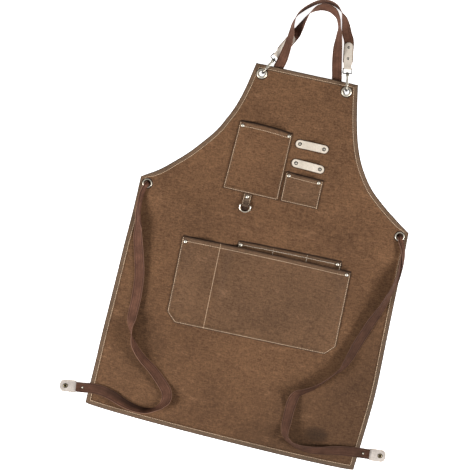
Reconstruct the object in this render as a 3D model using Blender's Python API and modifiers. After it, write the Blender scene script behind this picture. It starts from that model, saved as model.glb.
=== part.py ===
"""Waxed canvas work apron with pockets, lying face up, its straps drawn into a neck arch and two waist ties.

Metres, +Z up. The floor is z = 0. The origin is on the flat underside of the skirt, the bib points to +Y.
"""
import math
from collections import namedtuple

import bmesh
import bpy
from mathutils import Matrix, Vector
from mathutils.bvhtree import BVHTree

PART = "waterproof_work_apron"

# Clearance between pieces that touch on the real apron
GAP = 0.0003

# Panel
HEM_WIDTH = 0.608
WAIST_WIDTH = 0.6015
BIB_WIDTH = 0.229
BIB_LENGTH = 0.296
SKIRT_LENGTH = 0.523
WAIST_ABOVE_ORIGIN = 0.280
CANVAS = 0.0015
HEM_THICKNESS = 0.0026
HEM_FOLD = 0.009
HEM_STEP = 0.0012
WAIST_SKEW = 0.015
TOP_SKEW = 0.0045
BOTTOM_SKEW = -0.007
BOTTOM_BOW = 0.0085
SIDE_BOW = 0.010
BIB_SHIFT = 0.0025

# Webbing and leather
WEBBING_WIDTH = 0.022
WEBBING = 0.0015
SPINE_RADIUS = 0.0014
LEATHER = 0.0014
LOOP_LEATHER = 0.0018
TIP_LEATHER = 0.0020

# Neck arch and hooks
ARCH_RISE = 0.166
HOOK_WIRE = 0.0016
HOOK_HEIGHT = 0.0175
HOOK_POST_AT = 0.036
HOOK_IN_HOLE = 0.0036
EYE_NEAR = 0.0405
EYE_FAR = 0.0515
EYE_WIRE = 0.0012
STEM_HEIGHT = 0.0034
LEVER = 0.0018
LEVER_REACH = 0.0235
TAB_WIDTH = 0.019
TAB_EYE_WIDTH = 0.0165
TAB_LENGTH = 0.060

# Grommets
BIB_HOLE = 0.0062
BIB_FLANGE = 0.0115
SIDE_HOLE = 0.0070
SIDE_FLANGE = 0.0105
FLANGE = 0.0007
BARREL = 0.0008

# The four grommets sit at fixed distances in from the panel's corners
BIB_GROMMET_IN = {-1: 0.0175, 1: 0.0215}
BIB_GROMMET_DOWN = 0.0205
SIDE_GROMMET_IN = 0.0175
SIDE_GROMMET_DOWN = 0.0120

# Fineness of the meshes
PANEL_COLUMNS = 10
STRAP_STEP = 0.0225

# Pockets
POCKET_CANVAS = 0.0011
POCKET_HEM = 0.0018
POCKET_MOUTH = 0.0052
PEN_MOUTH = 0.0016
SEAM = 0.006
POCKET_SWELL = 0.030
POCKET_HEM_WIDTH = 0.010

# Small parts
RIVET_HEAD = 0.0042
RIVET_RISE = 0.0016
RIVET_SHANK = 0.0012
SMALL_RIVET_HEAD = 0.0030
SMALL_RIVET_RISE = 0.0010
RING_WIRE = 0.0015
RING_WIDTH = 0.027
RING_LENGTH = 0.0175
RING_TAB_WIDTH = 0.018
RING_TAB_THICKNESS = 0.0011
LOOP_LENGTH = 0.073
LOOP_WIDTH = 0.0175
LOOP_ARCH = 0.0046
LOOP_RIVET_SPAN = 0.054
TIP_LENGTH = 0.036
TIP_WIDTH = 0.0265
TONGUE = 0.021
TONGUE_WIDTH = 0.017
EYELET_HOLE = 0.0022
EYELET_FLANGE = 0.0052

ArmholeRow = namedtuple("ArmholeRow", "rise left_flare right_flare")
ARMHOLE = [
    ArmholeRow(0.00, 1.000, 1.000),
    ArmholeRow(0.08, 0.807, 0.805),
    ArmholeRow(0.16, 0.667, 0.629),
    ArmholeRow(0.25, 0.524, 0.461),
    ArmholeRow(0.35, 0.393, 0.333),
    ArmholeRow(0.45, 0.277, 0.238),
    ArmholeRow(0.55, 0.194, 0.171),
    ArmholeRow(0.66, 0.118, 0.118),
    ArmholeRow(0.80, 0.056, 0.064),
    ArmholeRow(1.00, 0.000, 0.000),
]

SkirtRow = namedtuple("SkirtRow", "drop left_bow right_bow")
SKIRT = [
    SkirtRow(0.00, 0.00, 0.00),
    SkirtRow(0.12, -0.10, 0.25),
    SkirtRow(0.30, 0.00, 0.45),
    SkirtRow(0.45, 0.00, 0.66),
    SkirtRow(0.62, 0.05, 0.93),
    SkirtRow(0.72, 0.05, 0.90),
    SkirtRow(0.82, 0.00, 0.62),
    SkirtRow(0.92, 0.00, 0.28),
    SkirtRow(1.00, 0.00, 0.00),
]

EdgeWave = namedtuple("EdgeWave", "side drop rise spread")
EDGE_WAVES = [
    EdgeWave(-1, 0.30, 0.0020, 0.10),
    EdgeWave(-1, 0.72, 0.0016, 0.08),
    EdgeWave(1, 0.38, 0.0018, 0.09),
    EdgeWave(1, 0.66, 0.0026, 0.08),
]
WAVE_REACH = 0.070


def smooth(value):
    """0 to 1 with level ends."""
    value = min(max(value, 0.0), 1.0)
    return value * value * (3.0 - 2.0 * value)


def mix(low, high, share):
    return low + (high - low) * share


def read_table(rows, key, column, at):
    """Reads a column of a table between its rows."""
    for low, high in zip(rows, rows[1:]):
        if at <= getattr(high, key):
            span = getattr(high, key) - getattr(low, key)
            share = (at - getattr(low, key)) / span
            return mix(getattr(low, column), getattr(high, column), share)
    return getattr(rows[-1], column)


def waist_y(side):
    return WAIST_ABOVE_ORIGIN + side * WAIST_SKEW / 2


def edge_point(side, level):
    """A point of the panel's left (-1) or right (1) edge: level 1 is the bib's top, 0 the waist, -1 the hem."""
    if level >= 0:
        flare = read_table(ARMHOLE, "rise", "left_flare" if side < 0 else "right_flare", level)
        half = mix(BIB_WIDTH, WAIST_WIDTH, flare) / 2
        top = WAIST_ABOVE_ORIGIN + BIB_LENGTH + side * TOP_SKEW / 2
        return Vector((side * half + BIB_SHIFT * min(level * 2, 1.0), mix(waist_y(side), top, level)))
    drop = -level
    bow = SIDE_BOW * read_table(SKIRT, "drop", "left_bow" if side < 0 else "right_bow", drop)
    half = mix(WAIST_WIDTH, HEM_WIDTH, drop) / 2 + bow
    bottom = WAIST_ABOVE_ORIGIN - SKIRT_LENGTH + side * BOTTOM_SKEW / 2
    return Vector((side * half, mix(waist_y(side), bottom, drop)))


def grommet_centre(side, level):
    corner = edge_point(side, level)
    if level > 0:
        return corner - Vector((side * BIB_GROMMET_IN[side], BIB_GROMMET_DOWN))
    return corner - Vector((side * SIDE_GROMMET_IN, SIDE_GROMMET_DOWN))


BIB_GROMMETS = {-1: grommet_centre(-1, 1), 1: grommet_centre(1, 1)}
SIDE_GROMMETS = {-1: grommet_centre(-1, 0), 1: grommet_centre(1, 0)}

# The bib bridges over the straps that run under it, and is held up higher at its grommets
BIB_LIFT = WEBBING + 2 * GAP
BIB_CORNER_LIFT = GAP + 2 * HOOK_WIRE + GAP + FLANGE + GAP
FOLDED_WEBBING = 2 * SPINE_RADIUS + WEBBING
FOLD_ROOM = 0.0006
SIDE_CORNER_LIFT = FOLDED_WEBBING + FOLD_ROOM + FLANGE + 2 * GAP
PLATEAU = 0.031
PLATEAU_FADE = 0.042
RAMP_TOP = 0.042
RAMP_LENGTH = 0.040


def near_grommet(x, y, centres, reach, fade):
    nearest = min((Vector((x, y)) - centre).length for centre in centres)
    return smooth(1.0 - (nearest - reach) / fade)


def cloth_underside(x, y):
    """Height of the canvas' lower face above the floor."""
    height = BIB_LIFT * smooth((y - (WAIST_ABOVE_ORIGIN - RAMP_TOP - RAMP_LENGTH)) / RAMP_LENGTH)
    bib = near_grommet(x, y, BIB_GROMMETS.values(), PLATEAU, PLATEAU_FADE)
    side = near_grommet(x, y, SIDE_GROMMETS.values(), PLATEAU, PLATEAU_FADE)
    height = mix(height, BIB_CORNER_LIFT, bib)
    height = mix(height, SIDE_CORNER_LIFT, side)
    drop = (WAIST_ABOVE_ORIGIN - y) / SKIRT_LENGTH
    for wave in EDGE_WAVES:
        along = smooth(1.0 - abs(drop - wave.drop) / wave.spread)
        if along > 0 and x * wave.side > 0:
            inward = edge_point(wave.side, -min(max(drop, 0), 1)).x * wave.side - x * wave.side
            height += wave.rise * along * smooth(1.0 - inward / WAVE_REACH)
    return height


def panel_levels():
    """Levels of the panel's rows, with narrow ones at the two hems and on the ramp below the bib."""
    hem = HEM_FOLD / SKIRT_LENGTH
    step = HEM_STEP / SKIRT_LENGTH
    levels = [-1.0, -1.0 + hem, -1.0 + hem + step]
    levels += [-row.drop for row in reversed(SKIRT) if 0.2 < row.drop < 0.95]
    levels += [-0.20, -0.16, -0.12, -0.08, -0.04]
    levels += [row.rise for row in ARMHOLE[:-1]]
    hem = HEM_FOLD / BIB_LENGTH
    step = HEM_STEP / BIB_LENGTH
    return levels + [0.90, 1.0 - hem - step, 1.0 - hem, 1.0]


def panel_row(level):
    """The row's points as (x, y, is in the hem)."""
    left = edge_point(-1, level)
    right = edge_point(1, level)
    row = []
    width = right.x - left.x
    insets = []
    for side in (-1, 1):
        slope = edge_point(side, min(level + 0.02, 1.0)) - edge_point(side, max(level - 0.02, -1.0))
        insets.append(min(slope.length / max(slope.y, 0.3 * slope.length), 2.2) / width)
    fold = [HEM_FOLD * inset for inset in insets]
    step = [(HEM_FOLD + HEM_STEP) * inset for inset in insets]
    shares = [0.0, fold[0], step[0]]
    inner = PANEL_COLUMNS
    spread = [(1 - math.cos(math.pi * (i + 1) / (inner + 1))) / 2 for i in range(inner)]
    shares += [mix(step[0], 1.0 - step[1], mix((i + 1) / (inner + 1), spread[i], 0.6)) for i in range(inner)]
    shares += [1.0 - step[1], 1.0 - fold[1], 1.0]
    bow = BOTTOM_BOW * smooth((-level - 0.8) / 0.2) if level < 0 else 0.0
    for index, share in enumerate(shares):
        point = left.lerp(right, share)
        middle = 4.0 * share * (1.0 - share)
        hemmed = index < 2 or index > inner + 3
        row.append((point.x, point.y - bow * middle ** 0.5, hemmed))
    return row


def panel_thickness(x, y, hemmed):
    """The canvas is one layer, the hem and the corners round the grommets are folded and thicker."""
    if hemmed:
        return HEM_THICKNESS
    centres = list(BIB_GROMMETS.values()) + list(SIDE_GROMMETS.values())
    return mix(CANVAS, HEM_THICKNESS, near_grommet(x, y, centres, 0.018, 0.012))


def distance_to_edge(x, y):
    """How far a point lies inside the panel's outline, negative outside it."""
    level = (y - WAIST_ABOVE_ORIGIN) / (BIB_LENGTH if y > WAIST_ABOVE_ORIGIN else SKIRT_LENGTH)
    if abs(level) > 1:
        return -(abs(level) - 1) * SKIRT_LENGTH
    return min(x - edge_point(-1, level).x, edge_point(1, level).x - x)


def cloth_top(x, y):
    """Height of what lies at a place: the canvas' upper face, or the floor beside it."""
    inside = distance_to_edge(x, y)
    if inside < -0.004:
        return 0.0
    hemmed = inside < HEM_FOLD + 2 * HEM_STEP or y < WAIST_ABOVE_ORIGIN - SKIRT_LENGTH + HEM_FOLD
    return cloth_underside(x, y) + panel_thickness(x, y, hemmed)


def flat_top(y):
    """The canvas' upper face on the flat stretches that carry the pockets."""
    bib = smooth((y - (WAIST_ABOVE_ORIGIN - RAMP_TOP - RAMP_LENGTH)) / RAMP_LENGTH)
    return BIB_LIFT * bib + CANVAS


# Making and joining shapes

parts = bpy.data.collections.new(PART)
cutters = bpy.data.collections.new(PART + "_cutters")


def material(name, colour, roughness, metallic=0.0):
    made = bpy.data.materials.new(name)
    made.use_nodes = True
    shader = made.node_tree.nodes["Principled BSDF"]
    shader.inputs["Base Color"].default_value = (*colour, 1.0)
    shader.inputs["Roughness"].default_value = roughness
    shader.inputs["Metallic"].default_value = metallic
    return made


COLOURS = {
    "canvas": ((0.185, 0.092, 0.045), 0.75, 0.0),
    "webbing": ((0.120, 0.050, 0.034), 0.80, 0.0),
    "leather": ((0.720, 0.620, 0.510), 0.60, 0.0),
    "nickel": ((0.780, 0.760, 0.720), 0.25, 1.0),
}


def add_object(name, mesh, look, collection=parts):
    obj = bpy.data.objects.new(name, mesh)
    collection.objects.link(obj)
    if look:
        colour, roughness, metallic = COLOURS[look]
        mesh.materials.clear()
        mesh.materials.append(material(name + "_" + look, colour, roughness, metallic))
    if collection is cutters:
        obj.hide_render = True
        obj.display_type = "WIRE"
    return obj


def sheet(name, rows, thickness, look, weights=None, offset=1.0, collection=parts):
    """A sheet through rows of points, made thick by Solidify; weights give each point's share of it."""
    down, across = len(rows), len(rows[0])
    shape = bmesh.new()
    bmesh.ops.create_grid(shape, x_segments=across - 1, y_segments=down - 1, size=0.5)
    shape.verts.ensure_lookup_table()
    order = []
    for vertex in shape.verts:
        column = round((vertex.co.x + 0.5) * (across - 1))
        row = round((vertex.co.y + 0.5) * (down - 1))
        order.append((row, column))
    for vertex, (row, column) in zip(shape.verts, order):
        vertex.co = Vector(rows[row][column])
    mesh = bpy.data.meshes.new(name)
    shape.to_mesh(mesh)
    shape.free()
    obj = add_object(name, mesh, look, collection)
    solid = obj.modifiers.new("thickness", "SOLIDIFY")
    solid.thickness = thickness
    solid.offset = offset
    if weights:
        group = obj.vertex_groups.new(name="folded")
        for index, (row, column) in enumerate(order):
            group.add([index], weights[row][column] / thickness, "REPLACE")
        solid.vertex_group = group.name
    return obj


def turned(name, profile, centre, look, sides=16, collection=parts, axis=(0, 0, 1)):
    """A closed profile of (radius, height) points, from top outside down and back up, turned about an axis."""
    shape = bmesh.new()
    ring = [shape.verts.new((radius, 0.0, height)) for radius, height in profile]
    closed = min(radius for radius, height in profile) > 0
    edges = [shape.edges.new((a, b)) for a, b in zip(ring, ring[1:])]
    if closed:
        edges.append(shape.edges.new((ring[-1], ring[0])))
    bmesh.ops.spin(shape, geom=ring + edges, cent=(0, 0, 0), axis=(0, 0, 1), angle=2 * math.pi,
                   steps=sides, use_merge=True)
    bmesh.ops.remove_doubles(shape, verts=shape.verts, dist=0.000001)
    bmesh.ops.recalc_face_normals(shape, faces=shape.faces)
    turn = Vector((0, 0, 1)).rotation_difference(Vector(axis)).to_matrix().to_4x4()
    bmesh.ops.transform(shape, matrix=Matrix.Translation(centre) @ turn, verts=shape.verts)
    mesh = bpy.data.meshes.new(name)
    shape.to_mesh(mesh)
    shape.free()
    mesh.shade_smooth()
    mesh.set_sharp_from_angle(angle=math.radians(35))
    return add_object(name, mesh, look, collection)


def rod(name, start, end, radius, look=None, sides=10, collection=cutters):
    start, end = Vector(start), Vector(end)
    length = (end - start).length
    profile = [(0.0, length), (radius, length), (radius, 0.0), (0.0, 0.0)]
    return turned(name, profile, start, look, sides, collection, (end - start).normalized())


def box(name, low, high, frame, look=None, collection=cutters):
    """A box between two corners in a frame's own axes."""
    shape = bmesh.new()
    bmesh.ops.create_cube(shape, size=1.0)
    size = [b - a for a, b in zip(low, high)]
    middle = [(a + b) / 2 for a, b in zip(low, high)]
    matrix = frame @ Matrix.Translation(middle) @ Matrix.Diagonal((*size, 1.0))
    bmesh.ops.transform(shape, matrix=matrix, verts=shape.verts)
    mesh = bpy.data.meshes.new(name)
    shape.to_mesh(mesh)
    shape.free()
    return add_object(name, mesh, look, collection)


def wire(name, points, radius, look, closed=False, sides_quarter=1, collection=parts):
    """A round wire along points, as a mesh with welded ends."""
    curve = bpy.data.curves.new(name, "CURVE")
    curve.dimensions = "3D"
    curve.bevel_depth = radius
    curve.bevel_resolution = sides_quarter
    curve.use_fill_caps = True
    spline = curve.splines.new("POLY")
    spline.points.add(len(points) - 1)
    for place, point in zip(spline.points, points):
        place.co = (*point, 1.0)
    spline.use_cyclic_u = closed
    bent = bpy.data.objects.new(name + "_route", curve)
    bpy.context.scene.collection.objects.link(bent)
    bpy.context.view_layer.update()
    mesh = bpy.data.meshes.new_from_object(bent.evaluated_get(bpy.context.evaluated_depsgraph_get()))
    mesh.name = name
    bpy.data.objects.remove(bent)
    shape = bmesh.new()
    shape.from_mesh(mesh)
    bmesh.ops.remove_doubles(shape, verts=shape.verts, dist=0.000001)
    bmesh.ops.recalc_face_normals(shape, faces=shape.faces)
    shape.to_mesh(mesh)
    shape.free()
    mesh.shade_smooth()
    return add_object(name, mesh, look, collection)


def combine(target, other, operation):
    modifier = target.modifiers.new(operation.lower(), "BOOLEAN")
    modifier.operation = operation
    modifier.object = other
    other.hide_render = True
    other.display_type = "WIRE"


def between(before, start, end, after, share):
    """A value on the curve through start and end that leaves towards its neighbours."""
    leave = (end - before) / 2
    arrive = (after - start) / 2
    square = share * share
    cube = square * share
    return ((2 * cube - 3 * square + 1) * start + (cube - 2 * square + share) * leave
            + (3 * square - 2 * cube) * end + (cube - square) * arrive)


# The panel

def make_panel():
    rows, weights = [], []
    levels = panel_levels()
    for index, level in enumerate(levels):
        row = panel_row(level)
        end_hem = index < 2 or index > len(levels) - 3
        rows.append([(x, y, cloth_underside(x, y)) for x, y, hemmed in row])
        weights.append([panel_thickness(x, y, hemmed or end_hem) for x, y, hemmed in row])
    panel = sheet("apron_panel", rows, HEM_THICKNESS, "canvas", weights)
    for side in (-1, 1):
        for level, centres, hole in ((1, BIB_GROMMETS, BIB_HOLE), (0, SIDE_GROMMETS, SIDE_HOLE)):
            centre = centres[side]
            name = "hole_" + grommet_name(side, level)
            cutter = rod(name, (*centre, -0.01), (*centre, 0.03), hole + BARREL + GAP, sides=16)
            combine(panel, cutter, "DIFFERENCE")
    return panel


def grommet_name(side, level):
    return ("bib" if level else "waist") + "_grommet_" + ("left" if side < 0 else "right")


def make_grommets():
    """Flat rings above and below the canvas, joined by a barrel through it."""
    for side in (-1, 1):
        for level in (1, 0):
            centre = (BIB_GROMMETS if level else SIDE_GROMMETS)[side]
            hole = BIB_HOLE if level else SIDE_HOLE
            flange = BIB_FLANGE if level else SIDE_FLANGE
            lift = BIB_CORNER_LIFT if level else SIDE_CORNER_LIFT
            top = lift + HEM_THICKNESS + GAP
            under = lift - GAP
            wall = hole + BARREL
            profile = [
                (hole, top + FLANGE), (wall, top + FLANGE * 1.3), (flange - 0.0006, top + FLANGE),
                (flange, top), (wall, top), (wall, under), (flange - 0.001, under), (hole, under - FLANGE),
            ]
            turned(grommet_name(side, level), profile, (*centre, 0.0), "nickel", 14)


# Pockets: a sheet with sewn edges lying on the panel, and a mouth that stands open

Pocket = namedtuple("Pocket", "name corners mouth_wave bulge dividers chamfer columns rows rivets")
# Corners are top left, top right, bottom right, bottom left, from the waist's middle
POCKETS = [
    Pocket("chest_pocket", ((-0.1170, 0.1625), (0.0025, 0.1600), (0.0045, 0.0100), (-0.1200, 0.0095)),
           0.0022, POCKET_MOUTH, (), 0.0, 7, 6, ((-0.1090, 0.1530), (-0.0045, 0.1535))),
    Pocket("small_pocket", ((0.0075, 0.0770), (0.0925, 0.0755), (0.0935, 0.0115), (0.0095, 0.0105)),
           -0.0012, POCKET_MOUTH, (), 0.0, 7, 5, ((0.0155, 0.0690), (0.0830, 0.0685))),
    Pocket("lower_pocket", ((-0.1810, -0.1135), (0.1985, -0.1060), (0.2045, -0.2945), (-0.1755, -0.3045)),
           0.0020, POCKET_MOUTH, (0.226,), 0.022, 17, 6, ((-0.1720, -0.1245), (0.1900, -0.1135))),
    Pocket("pen_pocket", ((-0.0590, -0.0960), (0.1735, -0.0885), (0.1765, -0.2065), (-0.0560, -0.2115)),
           0.0010, PEN_MOUTH, (0.340, 0.665), 0.0, 7, 3, ((-0.0520, -0.1035), (0.1650, -0.0955))),
]


def pocket_point(pocket, across, down):
    """A place on a pocket from its shares across and down."""
    top = Vector(pocket.corners[0]).lerp(Vector(pocket.corners[1]), across)
    bottom = Vector(pocket.corners[3]).lerp(Vector(pocket.corners[2]), across)
    width = (Vector(pocket.corners[0]) - Vector(pocket.corners[1])).length
    cut = max(pocket.chamfer - min(across, 1 - across) * width, 0.0)
    point = top.lerp(bottom, down * (1 - cut / (top - bottom).length))
    point.y += WAIST_ABOVE_ORIGIN + pocket.mouth_wave * math.sin(math.pi * across) * (1 - down) ** 2
    return point


def pocket_height(pocket, across, down):
    """How far the pocket's cloth stands off its sewn plane."""
    width = (Vector(pocket.corners[1]) - Vector(pocket.corners[0])).length
    depth = (Vector(pocket.corners[3]) - Vector(pocket.corners[0])).length
    seams = [0.0, *pocket.dividers, 1.0]
    distance = min(abs(across - seam) for seam in seams) * width
    rise = smooth((distance - SEAM) / POCKET_SWELL)
    up = smooth(((1 - down) * depth - SEAM) / (depth * 0.75))
    place = pocket_point(pocket, across, down)
    rivets = [Vector((x, y + WAIST_ABOVE_ORIGIN)) for x, y in pocket.rivets]
    pinned = min((place - rivet).length for rivet in rivets)
    return pocket.bulge * rise * up * smooth((pinned - RIVET_HEAD) / 0.02)


def pen_layer(x, y):
    """Room that the pen pocket needs under the lower pocket."""
    pen = POCKETS[3]
    left, right = pen.corners[0][0], pen.corners[1][0]
    bottom = pen.corners[3][1] + WAIST_ABOVE_ORIGIN
    inside = min(x - left, right - x, y - bottom) + 0.020
    return (POCKET_HEM + 2 * GAP) * smooth(inside / 0.016)


def make_pockets():
    for pocket in POCKETS:
        width = (Vector(pocket.corners[1]) - Vector(pocket.corners[0])).length
        depth = (Vector(pocket.corners[3]) - Vector(pocket.corners[0])).length
        downs = [0.0, POCKET_HEM_WIDTH / depth, (POCKET_HEM_WIDTH + HEM_STEP) / depth]
        downs += [mix(downs[2], 1.0 - SEAM / depth, (i + 1) / pocket.rows) for i in range(pocket.rows)]
        downs.append(1.0)
        marks = {0.0, SEAM / width, 1.0 - SEAM / width, 1.0, *pocket.dividers}
        if pocket.chamfer:
            marks |= {pocket.chamfer / width, 1.0 - pocket.chamfer / width}
        inner = [(i + 1) / (pocket.columns + 1) for i in range(pocket.columns)]
        far = [share for share in inner if min(abs(share - mark) for mark in marks) > 0.012]
        acrosses = sorted(marks | set(far))
        rows, weights = [], []
        for index, down in enumerate(reversed(downs)):
            row, thick = [], []
            for across in acrosses:
                place = pocket_point(pocket, across, down)
                height = flat_top(place.y) + GAP + pocket_height(pocket, across, down)
                if pocket.name == "lower_pocket":
                    height += pen_layer(place.x, place.y)
                row.append((place.x, place.y, height))
                thick.append(POCKET_HEM if index > len(downs) - 3 else POCKET_CANVAS)
            rows.append(row)
            weights.append(thick)
        obj = sheet(pocket.name, rows, POCKET_HEM, "canvas", weights)
        for index, (x, y) in enumerate(pocket.rivets):
            add_rivet("%s_rivet_%d" % (pocket.name, index + 1), (x, y + WAIST_ABOVE_ORIGIN), POCKET_HEM, obj,
                      RIVET_HEAD, RIVET_RISE)


def highest_under(carrier, place, radius):
    """The top of a sheet under a round head."""
    bpy.context.view_layer.update()
    faces = BVHTree.FromObject(carrier, bpy.context.evaluated_depsgraph_get())
    heights = []
    for step in range(9):
        reach = radius if step else 0.0
        angle = step * math.pi / 4
        start = Vector((place[0] + reach * math.cos(angle), place[1] + reach * math.sin(angle), 0.1))
        hit = faces.ray_cast(start, Vector((0, 0, -1)))[0]
        if hit:
            heights.append(hit.z)
    return max(heights)


def add_rivet(name, place, grip, carrier, head, rise):
    """A domed head on a sheet, with its shank in a hole through it."""
    top = highest_under(carrier, place, head)
    base = top + GAP
    foot = top - grip * 0.9
    profile = [(0.0, base + rise), (head * 0.7, base + rise * 0.7), (head, base), (RIVET_SHANK, base),
               (RIVET_SHANK, foot), (0.0, foot)]
    turned(name, profile, (*place, 0.0), "nickel", 8)
    cutter = rod(name + "_hole", (*place, foot - GAP), (*place, top + 0.005), RIVET_SHANK + GAP, sides=6)
    combine(carrier, cutter, "DIFFERENCE")


# Leather tool loops on the bib

ToolLoop = namedtuple("ToolLoop", "name centre slope")
TOOL_LOOPS = [
    ToolLoop("tool_loop_upper", (0.0500, 0.1428), 0.014),
    ToolLoop("tool_loop_lower", (0.0513, 0.0989), -0.022),
]


def make_tool_loops():
    for loop in TOOL_LOOPS:
        across_steps = (-1.0, -0.4, 0.4, 1.0)
        ends = (0.0, 0.02, 0.07, 0.14, 0.20, 0.28)
        shares = list(ends) + [0.40, 0.60] + [1 - end for end in reversed(ends)]
        rows = []
        centre = Vector((loop.centre[0], loop.centre[1] + WAIST_ABOVE_ORIGIN))
        for share in shares:
            along = (share - 0.5) * LOOP_LENGTH
            from_end = min(share, 1 - share) * LOOP_LENGTH
            radius = LOOP_WIDTH / 2
            short = max(radius - from_end, 0.0)
            half = math.sqrt(max(radius * radius - short * short, (0.35 * radius) ** 2))
            arch = LOOP_ARCH * smooth((LOOP_RIVET_SPAN / 2 - RIVET_HEAD - 0.0008 - abs(along)) / 0.013)
            row = []
            for across in across_steps:
                x = centre.x + along
                y = centre.y + across * half + along * loop.slope
                row.append((x, y, flat_top(y) + GAP + arch))
            rows.append(row)
        rows = [list(reversed(column)) for column in rows]
        obj = sheet(loop.name, rows, LOOP_LEATHER, "leather")
        for index, side in enumerate((-1, 1)):
            along = side * LOOP_RIVET_SPAN / 2
            place = (centre.x + along, centre.y + along * loop.slope)
            add_rivet("%s_rivet_%d" % (loop.name, index + 1), place, LOOP_LEATHER, obj, RIVET_HEAD, RIVET_RISE)


# Strips folded round a bar: the two hook tabs and the ring's canvas tab

def folded_strip(name, frame, bar_at, bar_height, bar_radius, reach, width, bar_width, thickness, inside, look,
                 round_end):
    """A strip that runs in along the bottom, round a bar and back on top; `inside` is the room between layers."""
    turn = bar_radius + GAP + thickness / 2
    low = bar_height - turn
    high_far = low + thickness + inside
    path = [(bar_at + reach, low), (bar_at + reach * 0.5, low), (bar_at + turn * 2.5, low)]
    for step in range(5):
        angle = -math.pi / 2 - math.pi * step / 4
        path.append((bar_at + turn * math.cos(angle), bar_height + turn * math.sin(angle)))
    path += [(bar_at + turn * 2.5, mix(high_far, bar_height + turn, 0.45)), (bar_at + turn * 4.5, high_far)]
    ends = (0.45, 0.80, 0.90, 0.97, 1.0) if round_end else (0.5, 1.0)
    path += [(bar_at + reach * share, high_far) for share in ends]
    rows = []
    for index, (along, height) in enumerate(path):
        half = mix(bar_width, width, smooth((along - bar_at - 0.004) / 0.012)) / 2
        left = bar_at + reach - along
        if round_end and index > len(path) - 4:
            short = max(half - left, 0.0) / half
            half *= math.sqrt(max(1 - short ** 2.6, 0.12))
        row = [frame @ Vector((along, across * half, height)) for across in (1.0, 0.4, -0.4, -1.0)]
        rows.append([tuple(point) for point in row])
    return sheet(name, rows, thickness, look, offset=0.0)


def frame_at(place, heading, height=0.0):
    return Matrix.Translation((*place, height)) @ Matrix.Rotation(heading, 4, "Z")


# Snap hooks: a bent body through the bib grommet, a sprung lever, and the eye that holds the leather tab

HOOK_SIDES = {-1: math.radians(63.0), 1: math.radians(100.5)}


def hook_frame(side):
    """The hook's own axes: from the grommet's centre towards its strap, and across."""
    return frame_at(BIB_GROMMETS[side], HOOK_SIDES[side])


def side_name(side):
    return "left" if side < 0 else "right"


def make_hook(side):
    name = "snap_hook_" + side_name(side)
    frame = hook_frame(side)
    low = GAP + HOOK_WIRE
    high = HOOK_HEIGHT
    post = HOOK_POST_AT
    pivot = high - HOOK_WIRE - GAP - LEVER / 2
    nose = post - LEVER_REACH + 0.0022
    route = [(post, STEM_HEIGHT), (post - 0.0030, low + 0.0004), (post - 0.007, low), (0.0064, low),
             (0.0045, low + 0.0007), (HOOK_IN_HOLE, low + 0.0030), (HOOK_IN_HOLE, mix(low, high, 0.65)),
             (HOOK_IN_HOLE + 0.0010, high - 0.0020), (HOOK_IN_HOLE + 0.0035, high), (nose, high)]
    body = wire(name, [frame @ Vector((along, 0, height)) for along, height in route], HOOK_WIRE, "nickel")
    post_rod = rod(name + "_post", frame @ Vector((post, 0, low)), frame @ Vector((post, 0, pivot - 0.0026)),
                   0.0023, sides=10)
    ears = box(name + "_ears", (post - 0.0026, -0.0036, pivot - 0.0034), (post + 0.0026, 0.0036, pivot + 0.0017),
               frame)
    slot = box(name + "_slot", (post - 0.0036, -0.0024, pivot - 0.0022), (post + 0.0036, 0.0024, pivot + 0.003),
               frame)
    pin = rod(name + "_pin", frame @ Vector((post, -0.0042, pivot)), frame @ Vector((post, 0.0042, pivot)),
              0.0008, sides=10)
    stem = rod(name + "_stem", frame @ Vector((post, 0, STEM_HEIGHT)),
               frame @ Vector((EYE_NEAR + 0.0040, 0, STEM_HEIGHT)), 0.0012, sides=10)
    head = rod(name + "_stem_head", frame @ Vector((EYE_NEAR + 0.0021 + GAP, 0, STEM_HEIGHT)),
               frame @ Vector((EYE_NEAR + 0.0040, 0, STEM_HEIGHT)), 0.0021, sides=10)
    for piece, operation in ((post_rod, "UNION"), (ears, "UNION"), (slot, "DIFFERENCE"), (pin, "UNION"),
                             (stem, "UNION"), (head, "UNION")):
        combine(body, piece, operation)
    make_lever(side, frame, pivot)
    make_eye(side, frame)


def make_lever(side, frame, pivot):
    """The sprung gate: its tip lies under the hook's nose, its eye turns on the pin."""
    name = "snap_lever_" + side_name(side)
    shape = bmesh.new()
    bmesh.ops.create_cube(shape, size=1.0)
    for vertex in shape.verts:
        at_tip = vertex.co.x < 0
        half = 0.0027 if at_tip else 0.0019
        along = HOOK_POST_AT - (LEVER_REACH if at_tip else 0.0)
        across = half if vertex.co.y > 0 else -half
        vertex.co = frame @ Vector((along, across, pivot + vertex.co.z * LEVER))
    mesh = bpy.data.meshes.new(name)
    shape.to_mesh(mesh)
    shape.free()
    lever = add_object(name, mesh, "nickel")
    start = frame @ Vector((HOOK_POST_AT, -0.0019, pivot))
    end = frame @ Vector((HOOK_POST_AT, 0.0019, pivot))
    combine(lever, rod(name + "_eye", start, end, 0.0018, sides=10), "UNION")
    start = frame @ Vector((HOOK_POST_AT, -0.004, pivot))
    end = frame @ Vector((HOOK_POST_AT, 0.004, pivot))
    combine(lever, rod(name + "_bore", start, end, 0.0008 + GAP, sides=10), "DIFFERENCE")


def eye_bar_height():
    """The far bar lies in the leather's fold, which rests on the floor."""
    return LEATHER + GAP + EYE_WIRE


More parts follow.
